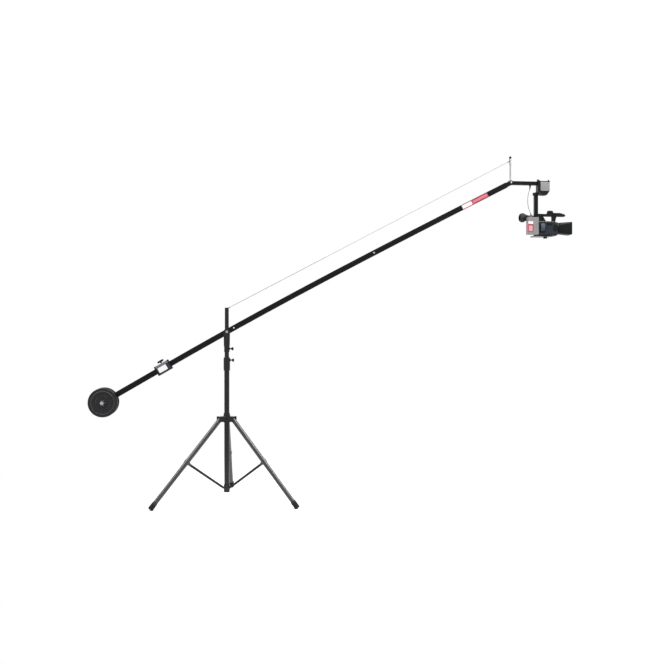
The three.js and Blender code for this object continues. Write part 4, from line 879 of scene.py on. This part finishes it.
# %% Star nuts that hold the plates
NUT_PROFILE = [
    (12.6, 0.6), (20, 0), (23.5, 1.2), (25, 4), (25, 11), (23.6, 14.2), (20, 15.4), (17.5, 15.6),
    (16.5, 17.6), (14.5, 18), (12.6, 17.4),
]
NUT_LOBES = (6, 0.3)
HUB_PROFILE = [(7.0, 17.4), (9.4, 17.9), (9.8, 18.6), (8, 20.4), (5, 21.8), (0, 22.4), (0, 17.0), (7.0, 17.0)]
for side, outward in SIDES:
    place = on_bar(f"weight_nut_{side}", outward)
    nut, lobed = f"nut_{side}", (spin, NUT_PROFILE, place, 96, *NUT_LOBES)
    piece(f"star_{nut}", blackened_steel, nut, "bright_steel", lobed, replaces=f"weight_{nut}")
    piece(f"star_nut_hub_{side}", zinc_steel, nut, "bright_steel", (spin, HUB_PROFILE, place, 64))
    print(side, "nut stands at y", round(place.translation.y / MM, 2), "mm")

# %% [markdown]
# ## Knobs that clamp the stand
#
# Three moulded knobs turn screws: on the leg collar, on the column's clamp and on the yoke. Each has five
# soft lobes for the fingers, a domed face and a steel stem. The bolts of the two pivots have blackened
# heads whose faces are turned bright.

# %% Lobed knobs
KNOB_LENGTH = 17
KNOB_RADIUS = 12
GRIP_PROFILE = [
    (0, 0), (7.5, 0), (9, 0.8), (9.4, 3.4), (11.2, 5.2), (12, 7.5), (12, 12.5), (11.2, 15), (9.2, 16.4),
    (5, 17), (0, 17.1),
]
KNOB_LOBES = (5, 0.22)
STEM_PROFILE = [(0, -9), (4, -9), (4, 0.5), (0, 0.5)]
KNOBS = {"clamp_knob": "clamp_screw", "collar_lock_knob": "collar_knob", "yoke_lock_knob": "yoke_screw"}


def knob_frame(node):
    """The knob's seat: its axis runs from the column outwards through the middle of the frame's knob."""
    low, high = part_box(node)
    middle = (low + high) / 2
    outward = Vector((middle.x, middle.y, 0)).normalized()
    turn = math.atan2(outward.y, outward.x)
    reach = max(Vector((x, y, 0)).dot(outward) for x in (low.x, high.x) for y in (low.y, high.y))
    if abs(math.sin(2 * turn)) > 0.01:
        widest = max(abs(low.x), abs(high.x))
        reach = (widest - KNOB_RADIUS * MM * abs(math.sin(turn))) / abs(math.cos(turn))
    place = Vector((0, 0, middle.z)) + outward * (reach - KNOB_LENGTH * MM)
    return Matrix.Translation(place) @ Matrix.Rotation(turn, 4, "Z") @ FACING_FRONT


for node, body in KNOBS.items():
    place = knob_frame(node)
    forms = (spin, GRIP_PROFILE, place, 60, *KNOB_LOBES), (spin, STEM_PROFILE, place, 20)
    piece(f"{node}_grip", abs_black, body, "black_plastic", *forms, replaces=node)
    print(node, "ends at", [round(v / MM, 1) for v in (place @ Vector((0, 0, KNOB_LENGTH * MM)))])

# %% Bright faces of the pivot bolts
for node, body, radius in (("pivot_bolt", "yoke_body", 8.5), ("tip_bolt", "boom", 7.0)):
    low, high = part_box(node)
    middle = (low + high) / 2
    profile = [(0, -0.4), (radius, -0.4), (radius, 0.2), (radius - 0.8, 0.6), (0, 0.7)]
    for (side, outward), depth in zip(SIDES, (low.y, high.y)):
        seat = Matrix.Translation((middle.x, depth, middle.z)) @ outward
        piece(f"{node}_face_{side}", zinc_steel, body, "bright_steel", (spin, profile, seat, 40))
    print(node, "is", round((high.y - low.y) / MM, 1), "mm over its heads")

# %% [markdown]
# ## Films on the boom
#
# Near its front end the boom carries a strip of adhesive vinyl on each side: a white field with a pink
# edging, and a longer red one. The maker's print is left off, and the red field gets a plain lighter stripe
# instead. The film follows the boom's bow, so its points are placed along the curve.

# %% Vinyl film
FILM_THICK = 0.25
FILM_LIFT = 0.06
FILM_STEPS = 12
FILM_FIELDS = {
    "edging": (1960, 2046, 17.5, 0, "#b5616c"),
    "red": (2046.4, 2179, 17.5, 0, "#8c2c38"),
    "white": (1964, 2041, 11.5, FILM_THICK, "#e6e1e2"),
    "stripe": (2053, 2172, 8.0, FILM_THICK, "#bb646f"),
}
for field, (start, end, half, under, code) in FILM_FIELDS.items():
    film = vinyl(f"calendered_vinyl_{field}", code)
    inner = BOOM_SIZE / 2 + FILM_LIFT + under
    for side, sign in (("near", -1), ("far", 1)):
        inside, outside = inner * sign, (inner + FILM_THICK) * sign
        corners = [(inside, -half), (outside, -half), (outside, half), (inside, half)]
        stations = [along_boom(start + (end - start) * i / FILM_STEPS) for i in range(FILM_STEPS + 1)]
        rings = [[here @ (Vector((0, y, z)) * MM) for y, z in corners] for here in stations]
        piece(f"boom_film_{field}_{side}", film, "boom", "boom_anodised", (sweep, rings))
print("films from", FILM_FIELDS["edging"][0], "to", FILM_FIELDS["red"][1], "mm along the boom")

# %% [markdown]
# ## Controller front
#
# The controller hangs on the rear of the boom with its face to the operator. A white panel in a thin black
# gasket covers most of that face and lies on a black film that leaves the case's grey only along the top.
# The maker's print is left off. A moulded T-handle with round ends turns the screw that holds it all.

# %% Controller panel, gasket and film
CONTROLLER_ALONG = 512
CASE_FACE = -69.6
PANEL = (-39, 25.5, -21.5, 15.5)
GASKET_WIDTH = 1.6
COVER_FILM = (-46.9, 46.9, -36, 18.5)
controller = along_boom(-CONTROLLER_ALONG)
gasket = [edge + sign * GASKET_WIDTH for edge, sign in zip(PANEL, (-1, 1, -1, 1))]
for name, look, slot_name, radius, area, corner, low, high in (
    ("controller_cover_film", pvc_black, "black_plastic", 0, COVER_FILM, 2.0, 0.55, 0.05),
    ("controller_gasket", rubber_black, "black_rubber", 0.2, gasket, 4.0, 0.9, 0.05),
    ("controller_panel", white_panel, "black_plastic", 0.25, PANEL, 3.0, 1.7, 0.95),
):
    layer = (slab, rounded(*area, corner), CASE_FACE - low, CASE_FACE - high, controller)
    piece(name, look, "boom", slot_name, layer, radius=radius)
print("panel", PANEL[1] - PANEL[0], "by", PANEL[3] - PANEL[2], "mm")

# %% T-handle
TEE_HEIGHT = 51
TEE_HALF = 24.4
TEE_STATIONS = 28
TEE_SIDES = 24
TEE_WAIST = 6.6
TEE_BULGE = 1.9
TEE_FLATNESS = 0.9
END_RADIUS = 0.08
END_GROWTH = 2.0
TEE_NECK = [(0, 20.2), (4, 20.2), (4, 33), (5.6, 35), (6.6, 42), (7.4, 48), (0, 50)]

turns = [math.tau * k / TEE_SIDES for k in range(TEE_SIDES)]
rings = []
for i in range(TEE_STATIONS + 1):
    t = math.pi * i / TEE_STATIONS
    wide = (TEE_WAIST + TEE_BULGE * math.sin(t) ** 2) * min(1.0, END_RADIUS + END_GROWTH * math.sin(t))
    along = -TEE_HALF * math.cos(t)
    ring = [(along, wide * math.cos(a), TEE_HEIGHT + TEE_FLATNESS * wide * math.sin(a)) for a in turns]
    rings.append([controller @ (Vector(spot) * MM) for spot in ring])
forms = (sweep, rings), (spin, TEE_NECK, controller, TEE_SIDES)
piece("tee_handle_grip", abs_black, "tee_screw", "black_plastic", *forms, replaces="controller_tee_handle")
print("T-handle", 2 * TEE_HALF, "mm long")

# %% [markdown]
# ## The camcorder's case
#
# The camera that the crane carries has a moulded case with wide soft edges. It is made as its mould is
# drawn: the side view's outline is carried across the width, and shrinks near both sides along a quarter
# circle, which rounds every edge at once. Pads and keys are laid on the side that the hand holds.

# %% Case
CASE = (30, 190, -385, -274)
CASE_NEAR = 38
CASE_FAR = 128
CASE_MIDDLE = 83
EDGE_ROUND = 9
CHAMFER = 24
CHAMFER_TURN = 45
CHAMFER_SHARE = 0.41
EAR = [(-11, -246.5), (-8.3, -240), (-2, -237.2), (68, -269), (68, -284), (44, -284), (-8.3, -253)]
EAR_SPAN = (19.8, 24)


def case_outline(inset, steps=6):
    """The case from the side: round corners, and a slope where the top runs down to the lens."""
    x0, x1, z0, z1 = CASE[0] + inset, CASE[1] - inset, CASE[2] + inset, CASE[3] - inset
    slope = ((x1, z1 - CHAMFER, 9, 0), (x1 - CHAMFER, z1, 9, CHAMFER_TURN))
    points = []
    for cx, cz, radius, start in ((x0, z1, 12, 90), (x0, z0, 12, 180), (x1, z0, 20, 270), *slope):
        radius = max(radius - inset, 2)
        inward_x = math.copysign(radius, (x0 + x1) / 2 - cx)
        inward_z = math.copysign(radius, (z0 + z1) / 2 - cz)
        whole_turn = 90
        if cz > z0 and cx > x0:
            whole_turn = CHAMFER_TURN
            inward_x *= 1 if start == 0 else CHAMFER_SHARE
            inward_z *= CHAMFER_SHARE if start == 0 else 1
        for i in range(steps + 1):
            turn = math.radians(start + whole_turn * i / steps)
            points.append((cx + inward_x + radius * math.cos(turn), cz + inward_z + radius * math.sin(turn)))
    return points


quarter = [math.radians(90 * i / 5) for i in range(6)]
rings = []
for side_y, sign, angles in ((CASE_NEAR, 1, quarter[::-1]), (CASE_FAR, -1, quarter)):
    for a in angles:
        depth = side_y + sign * EDGE_ROUND * (1 - math.sin(a))
        rings.append(ring_points(case_outline(EDGE_ROUND * (1 - math.cos(a))), depth, by_post()))
forms = [(sweep, rings)]
for low, high in ((-EAR_SPAN[1], -EAR_SPAN[0]), EAR_SPAN):
    forms.append((slab, EAR, CASE_MIDDLE + low, CASE_MIDDLE + high, by_post()))
made = piece(
    "camcorder_case", abs_camera, "camera", "camera_shell", *forms, radius=0.5, replaces="camera_body"
)
print(made.name, "has", len(made.data.polygons), "faces")

# %% Pads, panels and rings on the case
LENS_HEIGHT = -325
PADS = (
    (44, 92, -362, -283, 14, CASE_NEAR - 1.4, CASE_NEAR + 4),
    (150, 182, -352, -300, 10, CASE_NEAR - 1.0, CASE_NEAR + 4),
    (100, 144, -306, -284, 4, CASE_NEAR - 1.2, CASE_NEAR + 4),
    (48, 142, -356, -290, 6, CASE_FAR - 4, CASE_FAR + 1.4),
)
LENS_RING = [(0, -4), (47, -4), (49, -1), (49, 3.4), (46.5, 4.6), (42, 4.8), (41.6, 2), (0, 2)]
KEY_PROFILE = [(0, -2.6), (3.4, -2.6), (4.0, -2.0), (4.0, 1), (0, 1)]
RIB_PLACES = [153 + i * 4.3 for i in range(7)]
KEY_PLACES = [107 + i * 10 for i in range(4)]

pads = [(slab, rounded(*area), low, high, by_post()) for *area, low, high in PADS]
lens_ring = (spin, LENS_RING, by_post(CASE[1] + 0.6, CASE_MIDDLE, LENS_HEIGHT) @ FACING_FRONT, 64)
piece("camcorder_pads", abs_black, "camera", "black_plastic", *pads, lens_ring, radius=0.5)
ribs = [
    (slab, rounded(x, x + 2.4, -344, -308, 1.1, 3), CASE_NEAR - 1.9, CASE_NEAR, by_post()) for x in RIB_PLACES
]
keys = [(spin, KEY_PROFILE, by_post(x, CASE_NEAR, -295) @ FACING_Y, 20) for x in KEY_PLACES]
piece("camcorder_keys", rubber_black, "camera", "black_rubber", *ribs, *keys)
print("pads:", len(pads), "ribs:", len(ribs), "keys:", len(keys))

# %% [markdown]
# ### Lens and hood
#
# The hood is a rectangular funnel with round corners that turns from a deep round root at the lens to a
# wide mouth. Its wall is three millimetres thick, and its inside is stepped to swallow stray light. Behind
# it sits the domed front glass in its retaining ring.

# %% Hood
HOOD_ROOT = 196
HOOD_OUTSIDE = [
    (0, 40, 38.5, 27), (4, 43.2, 41.2, 26), (16, 44.5, 42.6, 22), (60, 46.8, 45.6, 16),
    (97, 48.8, 48.2, 12), (101.5, 49, 48.5, 12), (103, 48.2, 47.7, 11.5),
]
HOOD_INSIDE = [
    (103, 46.8, 46.3, 10.5), (101, 46.0, 45.5, 10), (80, 44.4, 43.6, 11), (80, 43.6, 42.8, 11),
    (60, 42.9, 41.8, 13), (60, 42.1, 41, 13), (40, 41.6, 40.2, 15), (40, 40.8, 39.4, 15), (8, 40, 38.2, 18),
    (6, 37, 36.8, 20), (0, 36.6, 36.4, 24),
]
lens_root = by_post(HOOD_ROOT, CASE_MIDDLE, LENS_HEIGHT) @ Matrix.Rotation(-math.pi / 2, 4, "Z")
rings = []
for along, half_wide, half_high, corner in HOOD_OUTSIDE + HOOD_INSIDE:
    outline = rounded(-half_wide, half_wide, -half_high, half_high, corner, 7)
    rings.append(ring_points(outline, along, lens_root))
hollow = (sweep, rings, True)
piece("rectangular_hood", abs_black, "camera", "black_plastic", hollow, replaces="lens_hood")
print("hood", HOOD_OUTSIDE[-1][0], "mm long")

# %% Front glass
GLASS_RADIUS = 29.5
GLASS_RISE = 12
GLASS_PLACE = 231
RIM_PLACE = 243
RIM_PROFILE = [
    (28.6, 0), (35.2, 0), (35.2, 2), (33, 2.4), (32.4, 1.4), (31.4, 1.4), (30.8, 0.6), (29.6, 0.6),
    (28.6, 0),
]
tenths = [math.radians(90 * i / 10) for i in range(11)]
dome = [(GLASS_RADIUS * math.sin(a), GLASS_RISE * math.cos(a)) for a in tenths]
dome += [(GLASS_RADIUS, -3), (0, -3)]
for name, look, profile, x in (
    ("front_glass", coated_glass, dome, GLASS_PLACE),
    ("glass_retaining_ring", abs_black, RIM_PROFILE, RIM_PLACE),
):
    place = by_post(x, CASE_MIDDLE, LENS_HEIGHT) @ FACING_FRONT
    piece(name, look, "camera", "black_plastic", (spin, profile, place, 64))
print("glass", 2 * GLASS_RADIUS, "mm wide")

# %% [markdown]
# ### Viewfinder and eyecup
#
# The viewfinder is a short tube that hinges between two ears. Its eyecup is soft rubber: a bellows of three
# folds next to the tube, then a full round cup whose lip turns in to the eye.

# %% Viewfinder
EYECUP_PROFILE = [
    (0, 30), (17, 30), (17.5, 34), (20.5, 34), (23.5, 38), (20.6, 41), (24.6, 45), (22.2, 48), (27, 52),
    (25.5, 55), (31, 59), (34.3, 65), (35, 72), (34.6, 79), (32.6, 86), (29, 92), (25.5, 95.2), (23, 96),
    (21, 94.6), (20.4, 91), (22, 84), (22.4, 76), (20, 70), (0, 69),
]
TUBE_PROFILE = [
    (0, 35), (19, 35), (19, 24), (18.2, 23.4), (18.2, 20.6), (19, 20), (19, -7), (17, -11), (11.4, -15),
    (0, -15),
]
HINGE_PROFILE = [(0, -24.5), (4, -24.5), (4, 24.5), (0, 24.5)]
EYE_GLASS_PROFILE = [(0, 69.2), (18, 69.2), (18, 70), (14, 71.6), (8, 72.8), (0, 73.2)]
hinge = by_post(-2, CASE_MIDDLE, -246.5)
cup = hinge @ FACING_BACK
piece("rubber_eyecup", rubber_eyecup, "finder", "black_rubber", (spin, EYECUP_PROFILE, cup, 64))
tube = ((spin, TUBE_PROFILE, cup, 48), (spin, HINGE_PROFILE, hinge @ FACING_Y, 24))
piece("viewfinder_tube", abs_camera, "finder", "black_rubber", *tube, radius=0.3, replaces="viewfinder")
piece("eyepiece_glass", coated_glass, "finder", "black_rubber", (spin, EYE_GLASS_PROFILE, cup, 40))
print("eyecup", max(height for _, height in EYECUP_PROFILE), "mm behind the hinge")

# %% [markdown]
# ### Hand strap
#
# The strap holds the hand against the case. It is padded webbing, 32 mm wide, sewn flat at both ends and
# bowed outwards in between. It is modelled directly as a band that follows an arc, thicker in its
# middle, with a hem along both edges. A cloth simulation would only blur so small a piece.

# %% Strap
STRAP = (52, 84, -352.3, -289.7)
ANCHOR_WIDTH = (53.5, 82.5)
ANCHOR_HEIGHTS = ((-357.5, -346), (-296, -284.5))
STRAP_STEPS = 24
STRAP_BOW = 7.4
STRAP_LIFT = 1.75
STRAP_THICK = 0.6
SEWN_SHARE = 0.08
THIN_EDGE = 0.7
PUFF = 1.1
ACROSS = [
    (-1.0, 0.3), (-0.97, 1.0), (-0.8, 1.0), (-0.76, 0.72), (-0.5, 0.95), (0, 1.05), (0.5, 0.95),
    (0.76, 0.72), (0.8, 1.0), (0.97, 1.0), (1.0, 0.3),
]


def strap_point(t, across, height):
    """A point of the strap: t runs from its lower end to its upper end, height counts outwards."""
    x = (STRAP[0] + STRAP[1]) / 2 + across * (STRAP[1] - STRAP[0]) / 2
    z = STRAP[2] + (STRAP[3] - STRAP[2]) * t
    free = min(max((t - SEWN_SHARE) / (1 - 2 * SEWN_SHARE), 0), 1)
    bow_out = STRAP_BOW * math.sin(math.pi * free) ** 0.8
    return by_post(x, CASE_NEAR - STRAP_LIFT - bow_out - height, z).translation


rings = []
for i in range(STRAP_STEPS + 1):
    t = i / STRAP_STEPS
    swell = THIN_EDGE + (PUFF * math.sin(math.pi * t) ** 0.5 if 0 < t < 1 else 0)
    outer = [strap_point(t, a, STRAP_THICK + h * swell) for a, h in ACROSS]
    rings.append(outer + [strap_point(t, a, 0) for a, _ in reversed(ACROSS)])
band = (sweep, rings)
made = piece("hand_strap_webbing", woven_nylon, "camera", "strap_fabric", band, replaces="hand_strap")
anchors = [
    (slab, rounded(*ANCHOR_WIDTH, *height, 3), CASE_NEAR - 3.4, CASE_NEAR - 1.2, by_post())
    for height in ANCHOR_HEIGHTS
]
piece("strap_anchors", abs_black, "camera", "black_plastic", *anchors, radius=0.5)
print("strap", STRAP[1] - STRAP[0], "mm wide")

# %% [markdown]
# ### Handle
#
# The carrying handle keeps the frame's shape. It gets what the hand touches: soft rubber sides, round keys,
# a red recording button, and the metal rails of the accessory shoe on its hump.

# %% Handle fittings
HANDLE_TOP = -216
HUMP_TOP = -192
HANDLE_KEYS = ((58, 4.6), (72, 3.2), (84, 3.2), (232, 4.2), (244, 3.0))
BUTTON_PROFILE = [(0, 2.3), (3.6, 2.3), (3.4, 3.1), (2.4, 3.5), (0, 3.6)]
RAIL_OUTLINE = ((10.4, 0), (10.4, 2.6), (6.2, 2.6), (6.2, 1.7), (9.2, 1.7), (9.2, 0))

grip_pads = []
for low, high in ((-11.9, -11), (11, 11.9)):
    for area in ((90, 150, -232.5, -219.5, 5), (186, 246, -229.5, -221, 4)):
        grip_pads.append((slab, rounded(*area), CASE_MIDDLE + low, CASE_MIDDLE + high, by_post()))
piece("handle_grip_pads", rubber_black, "camera", "black_rubber", *grip_pads, radius=0.3)
keys = []
for x, r in HANDLE_KEYS:
    profile = [(0, -1), (r + 1, -1), (r + 1, 0.5), (r, 0.9), (r - 0.4, 2.2), (0, 2.5)]
    keys.append((spin, profile, by_post(x, CASE_MIDDLE, HANDLE_TOP), 28))
piece("handle_keys", rubber_black, "camera", "black_rubber", *keys)
button = (spin, BUTTON_PROFILE, by_post(HANDLE_KEYS[0][0], CASE_MIDDLE, HANDLE_TOP), 28)
piece("record_button", abs_red, "camera", "black_plastic", button)
shoe = by_post(0, CASE_MIDDLE, HUMP_TOP) @ QUARTER_TURN
rails = [(slab, [(sign * a, b) for a, b in RAIL_OUTLINE], -158, -126, shoe) for sign in (-1, 1)]
piece("accessory_shoe_rails", zinc_steel, "camera", "bright_steel", *rails, radius=0.2)
print("handle keys:", len(keys))

# %% [markdown]
# ## Panel on the tilt box
#
# The tilt box's near face carries a printed film that wraps round its edge: a dark red frame round a pale
# pink field, with a white bar across its top. The maker's words and marks are left off.

# %% Film on the tilt box
BOX_FACE = -24
BOX_REAR = -68
BOX_FILM = {
    "frame": ((-68, -27, -367.5, -309), 3.0, 0.02, 0.3, "#8c3540"),
    "field": ((-61.5, -34, -360, -318), 2.0, 0.3, 0.55, "#c48f92"),
    "edging": ((-68, -27, -307, -284), 3.0, 0.02, 0.3, "#b5707a"),
    "bar": ((-65.5, -29.5, -304, -287.5), 2.0, 0.3, 0.55, "#e6e1e2"),
    "wrap": ((-12, 24.2, -367.5, -284), 2.0, 0.02, 0.3, "#a04652"),
}
for field, (area, corner, low, high, code) in BOX_FILM.items():
    face = by_post(0, BOX_FACE)
    if field == "wrap":
        face = by_post(BOX_REAR) @ QUARTER_TURN.inverted()
    layer = (slab, rounded(*area, corner), -high, -low, face)
    piece(f"tilt_box_film_{field}", vinyl(f"printed_film_{field}", code), "head", "silver_aluminium", layer)
print("film on the tilt box:", ", ".join(BOX_FILM))

# %% [markdown]
# ## Rubber boots on the cable
#
# Where the cable leaves the gland and where it enters the box, a tapered rubber boot keeps it from kinking.
# A boot follows the first centimetres of the cable's own line, with a wide and a narrow ring at each point.

# %% Cable boots
BOOT_LENGTH = 24
BOOT_SIDES = 24
BOOT_RADIUS = 5.6
BOOT_TAPER = 2.6
BOOT_RINGS = ((1.0, 0.0), (0.86, 0.5))
SIDEWAYS = Vector((0, 1, 0))


def boot(name, line, body):
    rings = []
    walked = 0.0
    for here, after in zip(line, line[1:]):
        t = walked / (BOOT_LENGTH * MM)
        if t > 1:
            break
        across = (after - here).normalized().cross(SIDEWAYS).normalized()
        for share, step in BOOT_RINGS:
            radius = (BOOT_RADIUS - BOOT_TAPER * t) * share * MM
            centre = here.lerp(after, step)
            turns = [math.tau * i / BOOT_SIDES for i in range(BOOT_SIDES)]
            rings.append([centre + radius * (math.cos(a) * across + math.sin(a) * SIDEWAYS) for a in turns])
        walked += (after - here).length
    piece(name, rubber_black, body, "black_rubber", (sweep, rings))
    print(name, "has", len(rings), "rings")


dense_line = round_curve(cable_points, 2 * CABLE_STEPS)
boot("gland_boot", dense_line, "arm")
boot("inlet_boot", dense_line[::-1], "head")

# %% [markdown]
# ## Screws and knurls that repeat
#
# Small fasteners are all alike, so Geometry Nodes set them: a seed mesh has one vertex for each screw, with
# the direction that it faces. One tree builds a head from two round discs and a dark six-sided disc on top,
# painted shade in place of the socket's hollow, and turns a copy to each direction. Another sets small bars
# round an axis, which makes the camera screw's knurl.

# %% Screw heads, as a node tree
sizes = {"Head_Radius": "Float", "Head_Height": "Float", "Head_Sides": "Int"}
screw_heads, given = shape_tree("screw_heads", **sizes, Head_Material="Material", Socket_Material="Material")


def facing_rotation(tree):
    """The turn that brings a copy's Z axis to the direction that its seed faces."""
    facing = out(tree, "GeometryNodeInputNamedAttribute", {"Name": "facing"}, data_type="FLOAT_VECTOR")
    return out(tree, "FunctionNodeAlignRotationToVector", {"Vector": facing}, axis="Z")


def copies(tree, points, instance, rotation):
    return geometry(tree, "InstanceOnPoints", Points=points, Instance=instance, Rotation=rotation)


screw = add(screw_heads, "GeometryNodeJoinGeometry")
for sides, radius_share, height_share, look in (
    (given["Head Sides"], 1.0, 0.8, given["Head Material"]),
    (given["Head Sides"], 0.86, 1.0, given["Head Material"]),
    # The six-sided disc stands a little proud of the head: painted shade for the socket's hollow.
    (6, 0.5, 1.03, given["Socket Material"]),
):
    radius = reckon(screw_heads, "MULTIPLY", given["Head Radius"], radius_share)
    height = reckon(screw_heads, "MULTIPLY", given["Head Height"], height_share)
    disc = geometry(screw_heads, "MeshCylinder", Vertices=sides, Radius=radius, Depth=height)
    lift = out(screw_heads, "ShaderNodeCombineXYZ", {"Z": reckon(screw_heads, "MULTIPLY", height, 0.5)})
    seated = geometry(screw_heads, "Transform", Geometry=disc, Translation=lift)
    coloured = geometry(screw_heads, "SetMaterial", Geometry=seated, Material=look)
    screw_heads.links.new(coloured, screw.inputs[0])
turned = facing_rotation(screw_heads)
finish_tree(screw_heads, copies(screw_heads, given["Geometry"], screw.outputs[0], turned))

# %% Bars round an axis, as a node tree
bars_round_axis, given = shape_tree(
    "bars_round_axis", Count="Int", Circle_Radius="Float", Bar_Size="Vector", Material="Material"
)
circle = geometry(bars_round_axis, "MeshCircle", Vertices=given["Count"], Radius=given["Circle Radius"])
place = geometry(bars_round_axis, "InputPosition")
outward = out(bars_round_axis, "FunctionNodeAlignRotationToVector", {"Vector": place}, axis="X")
one_bar = geometry(bars_round_axis, "MeshCube", Size=given["Bar Size"])
ring = copies(bars_round_axis, circle, one_bar, outward)
ring = geometry(bars_round_axis, "RealizeInstances", Geometry=ring)
all_rings = copies(bars_round_axis, given["Geometry"], ring, facing_rotation(bars_round_axis))
finish_tree(bars_round_axis, all_rings, given["Material"])

# %% Set the screws and the knurl
TO_NEAR, TO_FAR, UP = (0, -1, 0), (0, 1, 0), (0, 0, 1)
PAN_FACE = 27
HEAD_SIDES = 18


def set_copies(name, seeds, tree, values, body):
    """Grow one copy at each seed. `seeds` lists (place, direction)."""
    mesh = bpy.data.meshes.new("seeds")
    mesh.from_pydata([p for p, _ in seeds], [], [])
    facing = mesh.attributes.new("facing", "FLOAT_VECTOR", "POINT")
    facing.data.foreach_set("vector", [v for _, direction in seeds for v in direction])
    made = grown(name, mesh, tree, values)
    soften(made, 0)
    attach(made, body)
    print(name, "has", len(seeds), "seeds")


def screws(name, faces, radius, height, body, look):
    """Set screws on flat faces. `faces` lists (frame, depth, [(x, z)]) in mm. A depth's sign is its side."""
    seeds = []
    for frame_here, y, spots in faces:
        places = ring_points(spots, y, frame_here)
        seeds += [(p, TO_NEAR if y < 0 else TO_FAR) for p in places]
    values = {"Head Radius": radius * MM, "Head Height": height * MM, "Head Sides": HEAD_SIDES}
    # The socket's disc gets black rubber as painted shade.
    values |= {"Head Material": look, "Socket Material": rubber_black}
    set_copies(name, seeds, screw_heads, values, body)


pan_box = [(x, z) for x in (33.5, 93) for z in (-51, 2)]
tilt_box = [(x, z) for x in (-62, 8) for z in (-260, -378)]
case_corners = [(x, z) for x in (-52, 52) for z in (-29, 29)]
panel_keys = [(x, z) for x in (34, 42) for z in (-12, 0, 12)]
camera_side = [(x, z) for x in (40, 150, 176) for z in (-374, -284)]
pan_faces = [(by_post(), y, pan_box) for y in (-PAN_FACE, PAN_FACE)]
screws("pan_housing_screws", pan_faces, 2.6, 1.6, "arm", zinc_steel)
screws("tilt_housing_screws", [(by_post(), BOX_FACE, tilt_box)], 2.6, 1.6, "head", zinc_steel)
controller_face = [(controller, CASE_FACE, case_corners + panel_keys)]
screws("controller_screws", controller_face, 2.4, 1.4, "boom", blackened_steel)
screws("camcorder_screws", [(by_post(), CASE_FAR, camera_side)], 1.8, 0.9, "camera", zinc_steel)
knurl = {"Count": 30, "Circle Radius": 13 * MM, "Bar Size": [v * MM for v in (1.4, 1.3, 7.5)]}
knurl["Material"] = blackened_steel
rim = by_post(104, CASE_MIDDLE, -398.5).translation
set_copies("camera_screw_knurl", [(rim, UP)], bars_round_axis, knurl, "screw")

# %% [markdown]
# ## Ribs on the feet and ends of the tubes
#
# Each rubber foot has three ribs against slipping, square to its leg. The rear end of the boom is closed by
# a plastic plug with a rounded lip, and the front mast has a lobed cap on its screw.

# %% Ribs round the rubber feet
LEG_TURN = math.radians(87)
LEG_SPLAY = math.radians(42)
LEG_PIVOT = (56, 592)
RIB_STEP = 6.5
RIB_PROFILE = [(18.2, 0), (20.4, 0.6), (20.9, 1.6), (20.4, 2.6), (18.2, 3.2), (18.2, 0)]
for i in range(3):
    turn_about_column = Matrix.Rotation(LEG_TURN + i * math.tau / 3, 3, "Z")
    down = turn_about_column @ Vector((math.sin(LEG_SPLAY), 0, -math.cos(LEG_SPLAY)))
    start = turn_about_column @ Vector((LEG_PIVOT[0] * MM, 0, 0)) + at(0, 0, LEG_PIVOT[1])
    along = (start.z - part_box(f"leg_{i + 1}_foot")[1].z) / math.cos(LEG_SPLAY)
    axis = down.to_track_quat("Z", "Y").to_matrix().to_4x4()
    centres = [start + down * (along + (1 + step * RIB_STEP) * MM) for step in range(3)]
    ribs = [(spin, RIB_PROFILE, Matrix.Translation(centre) @ axis, 48) for centre in centres]
    piece(f"leg_{i + 1}_foot_ribs", rubber_black, f"leg_{i + 1}_body", "black_rubber", *ribs)
print("three ribs on each foot")

# %% Boom plug and mast cap
PLUG_SECTIONS = ((-0.6, 17, 2), (-0.5, 19.8, 4), (1.8, 19.8, 4), (3.0, 18.6, 4), (3.4, 16, 4))
CAP_PROFILE = [
    (8.1, -14.6), (9.0, -13.6), (9.0, -0.9), (8.5, 0.3), (7.6, 0.8), (4, 0.95), (0, 1.0), (0, 0.15),
    (8.1, 0.15), (8.1, -14.6),
]
CAP_LOBES = (8, 0.08)
PLUG_ALONG = BOOM_REAR + 22
end = along_boom(-PLUG_ALONG) @ QUARTER_TURN
rings = [ring_points(rounded(-half, half, -half, half, corner), y, end) for y, half, corner in PLUG_SECTIONS]
piece("boom_end_plug", abs_black, "boom", "black_plastic", (sweep, rings))
mast_top = Matrix.Translation((tip.x, 0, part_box("front_mast")[1].z))
piece("mast_knob_cap", abs_black, "arm", "black_plastic", (spin, CAP_PROFILE, mast_top, 40, *CAP_LOBES))
print("plug on the boom's rear end, cap on the mast")

# %% [markdown]
# ## Colour view

# %% Standard view transform
bpy.context.scene.view_settings.view_transform = "Standard"
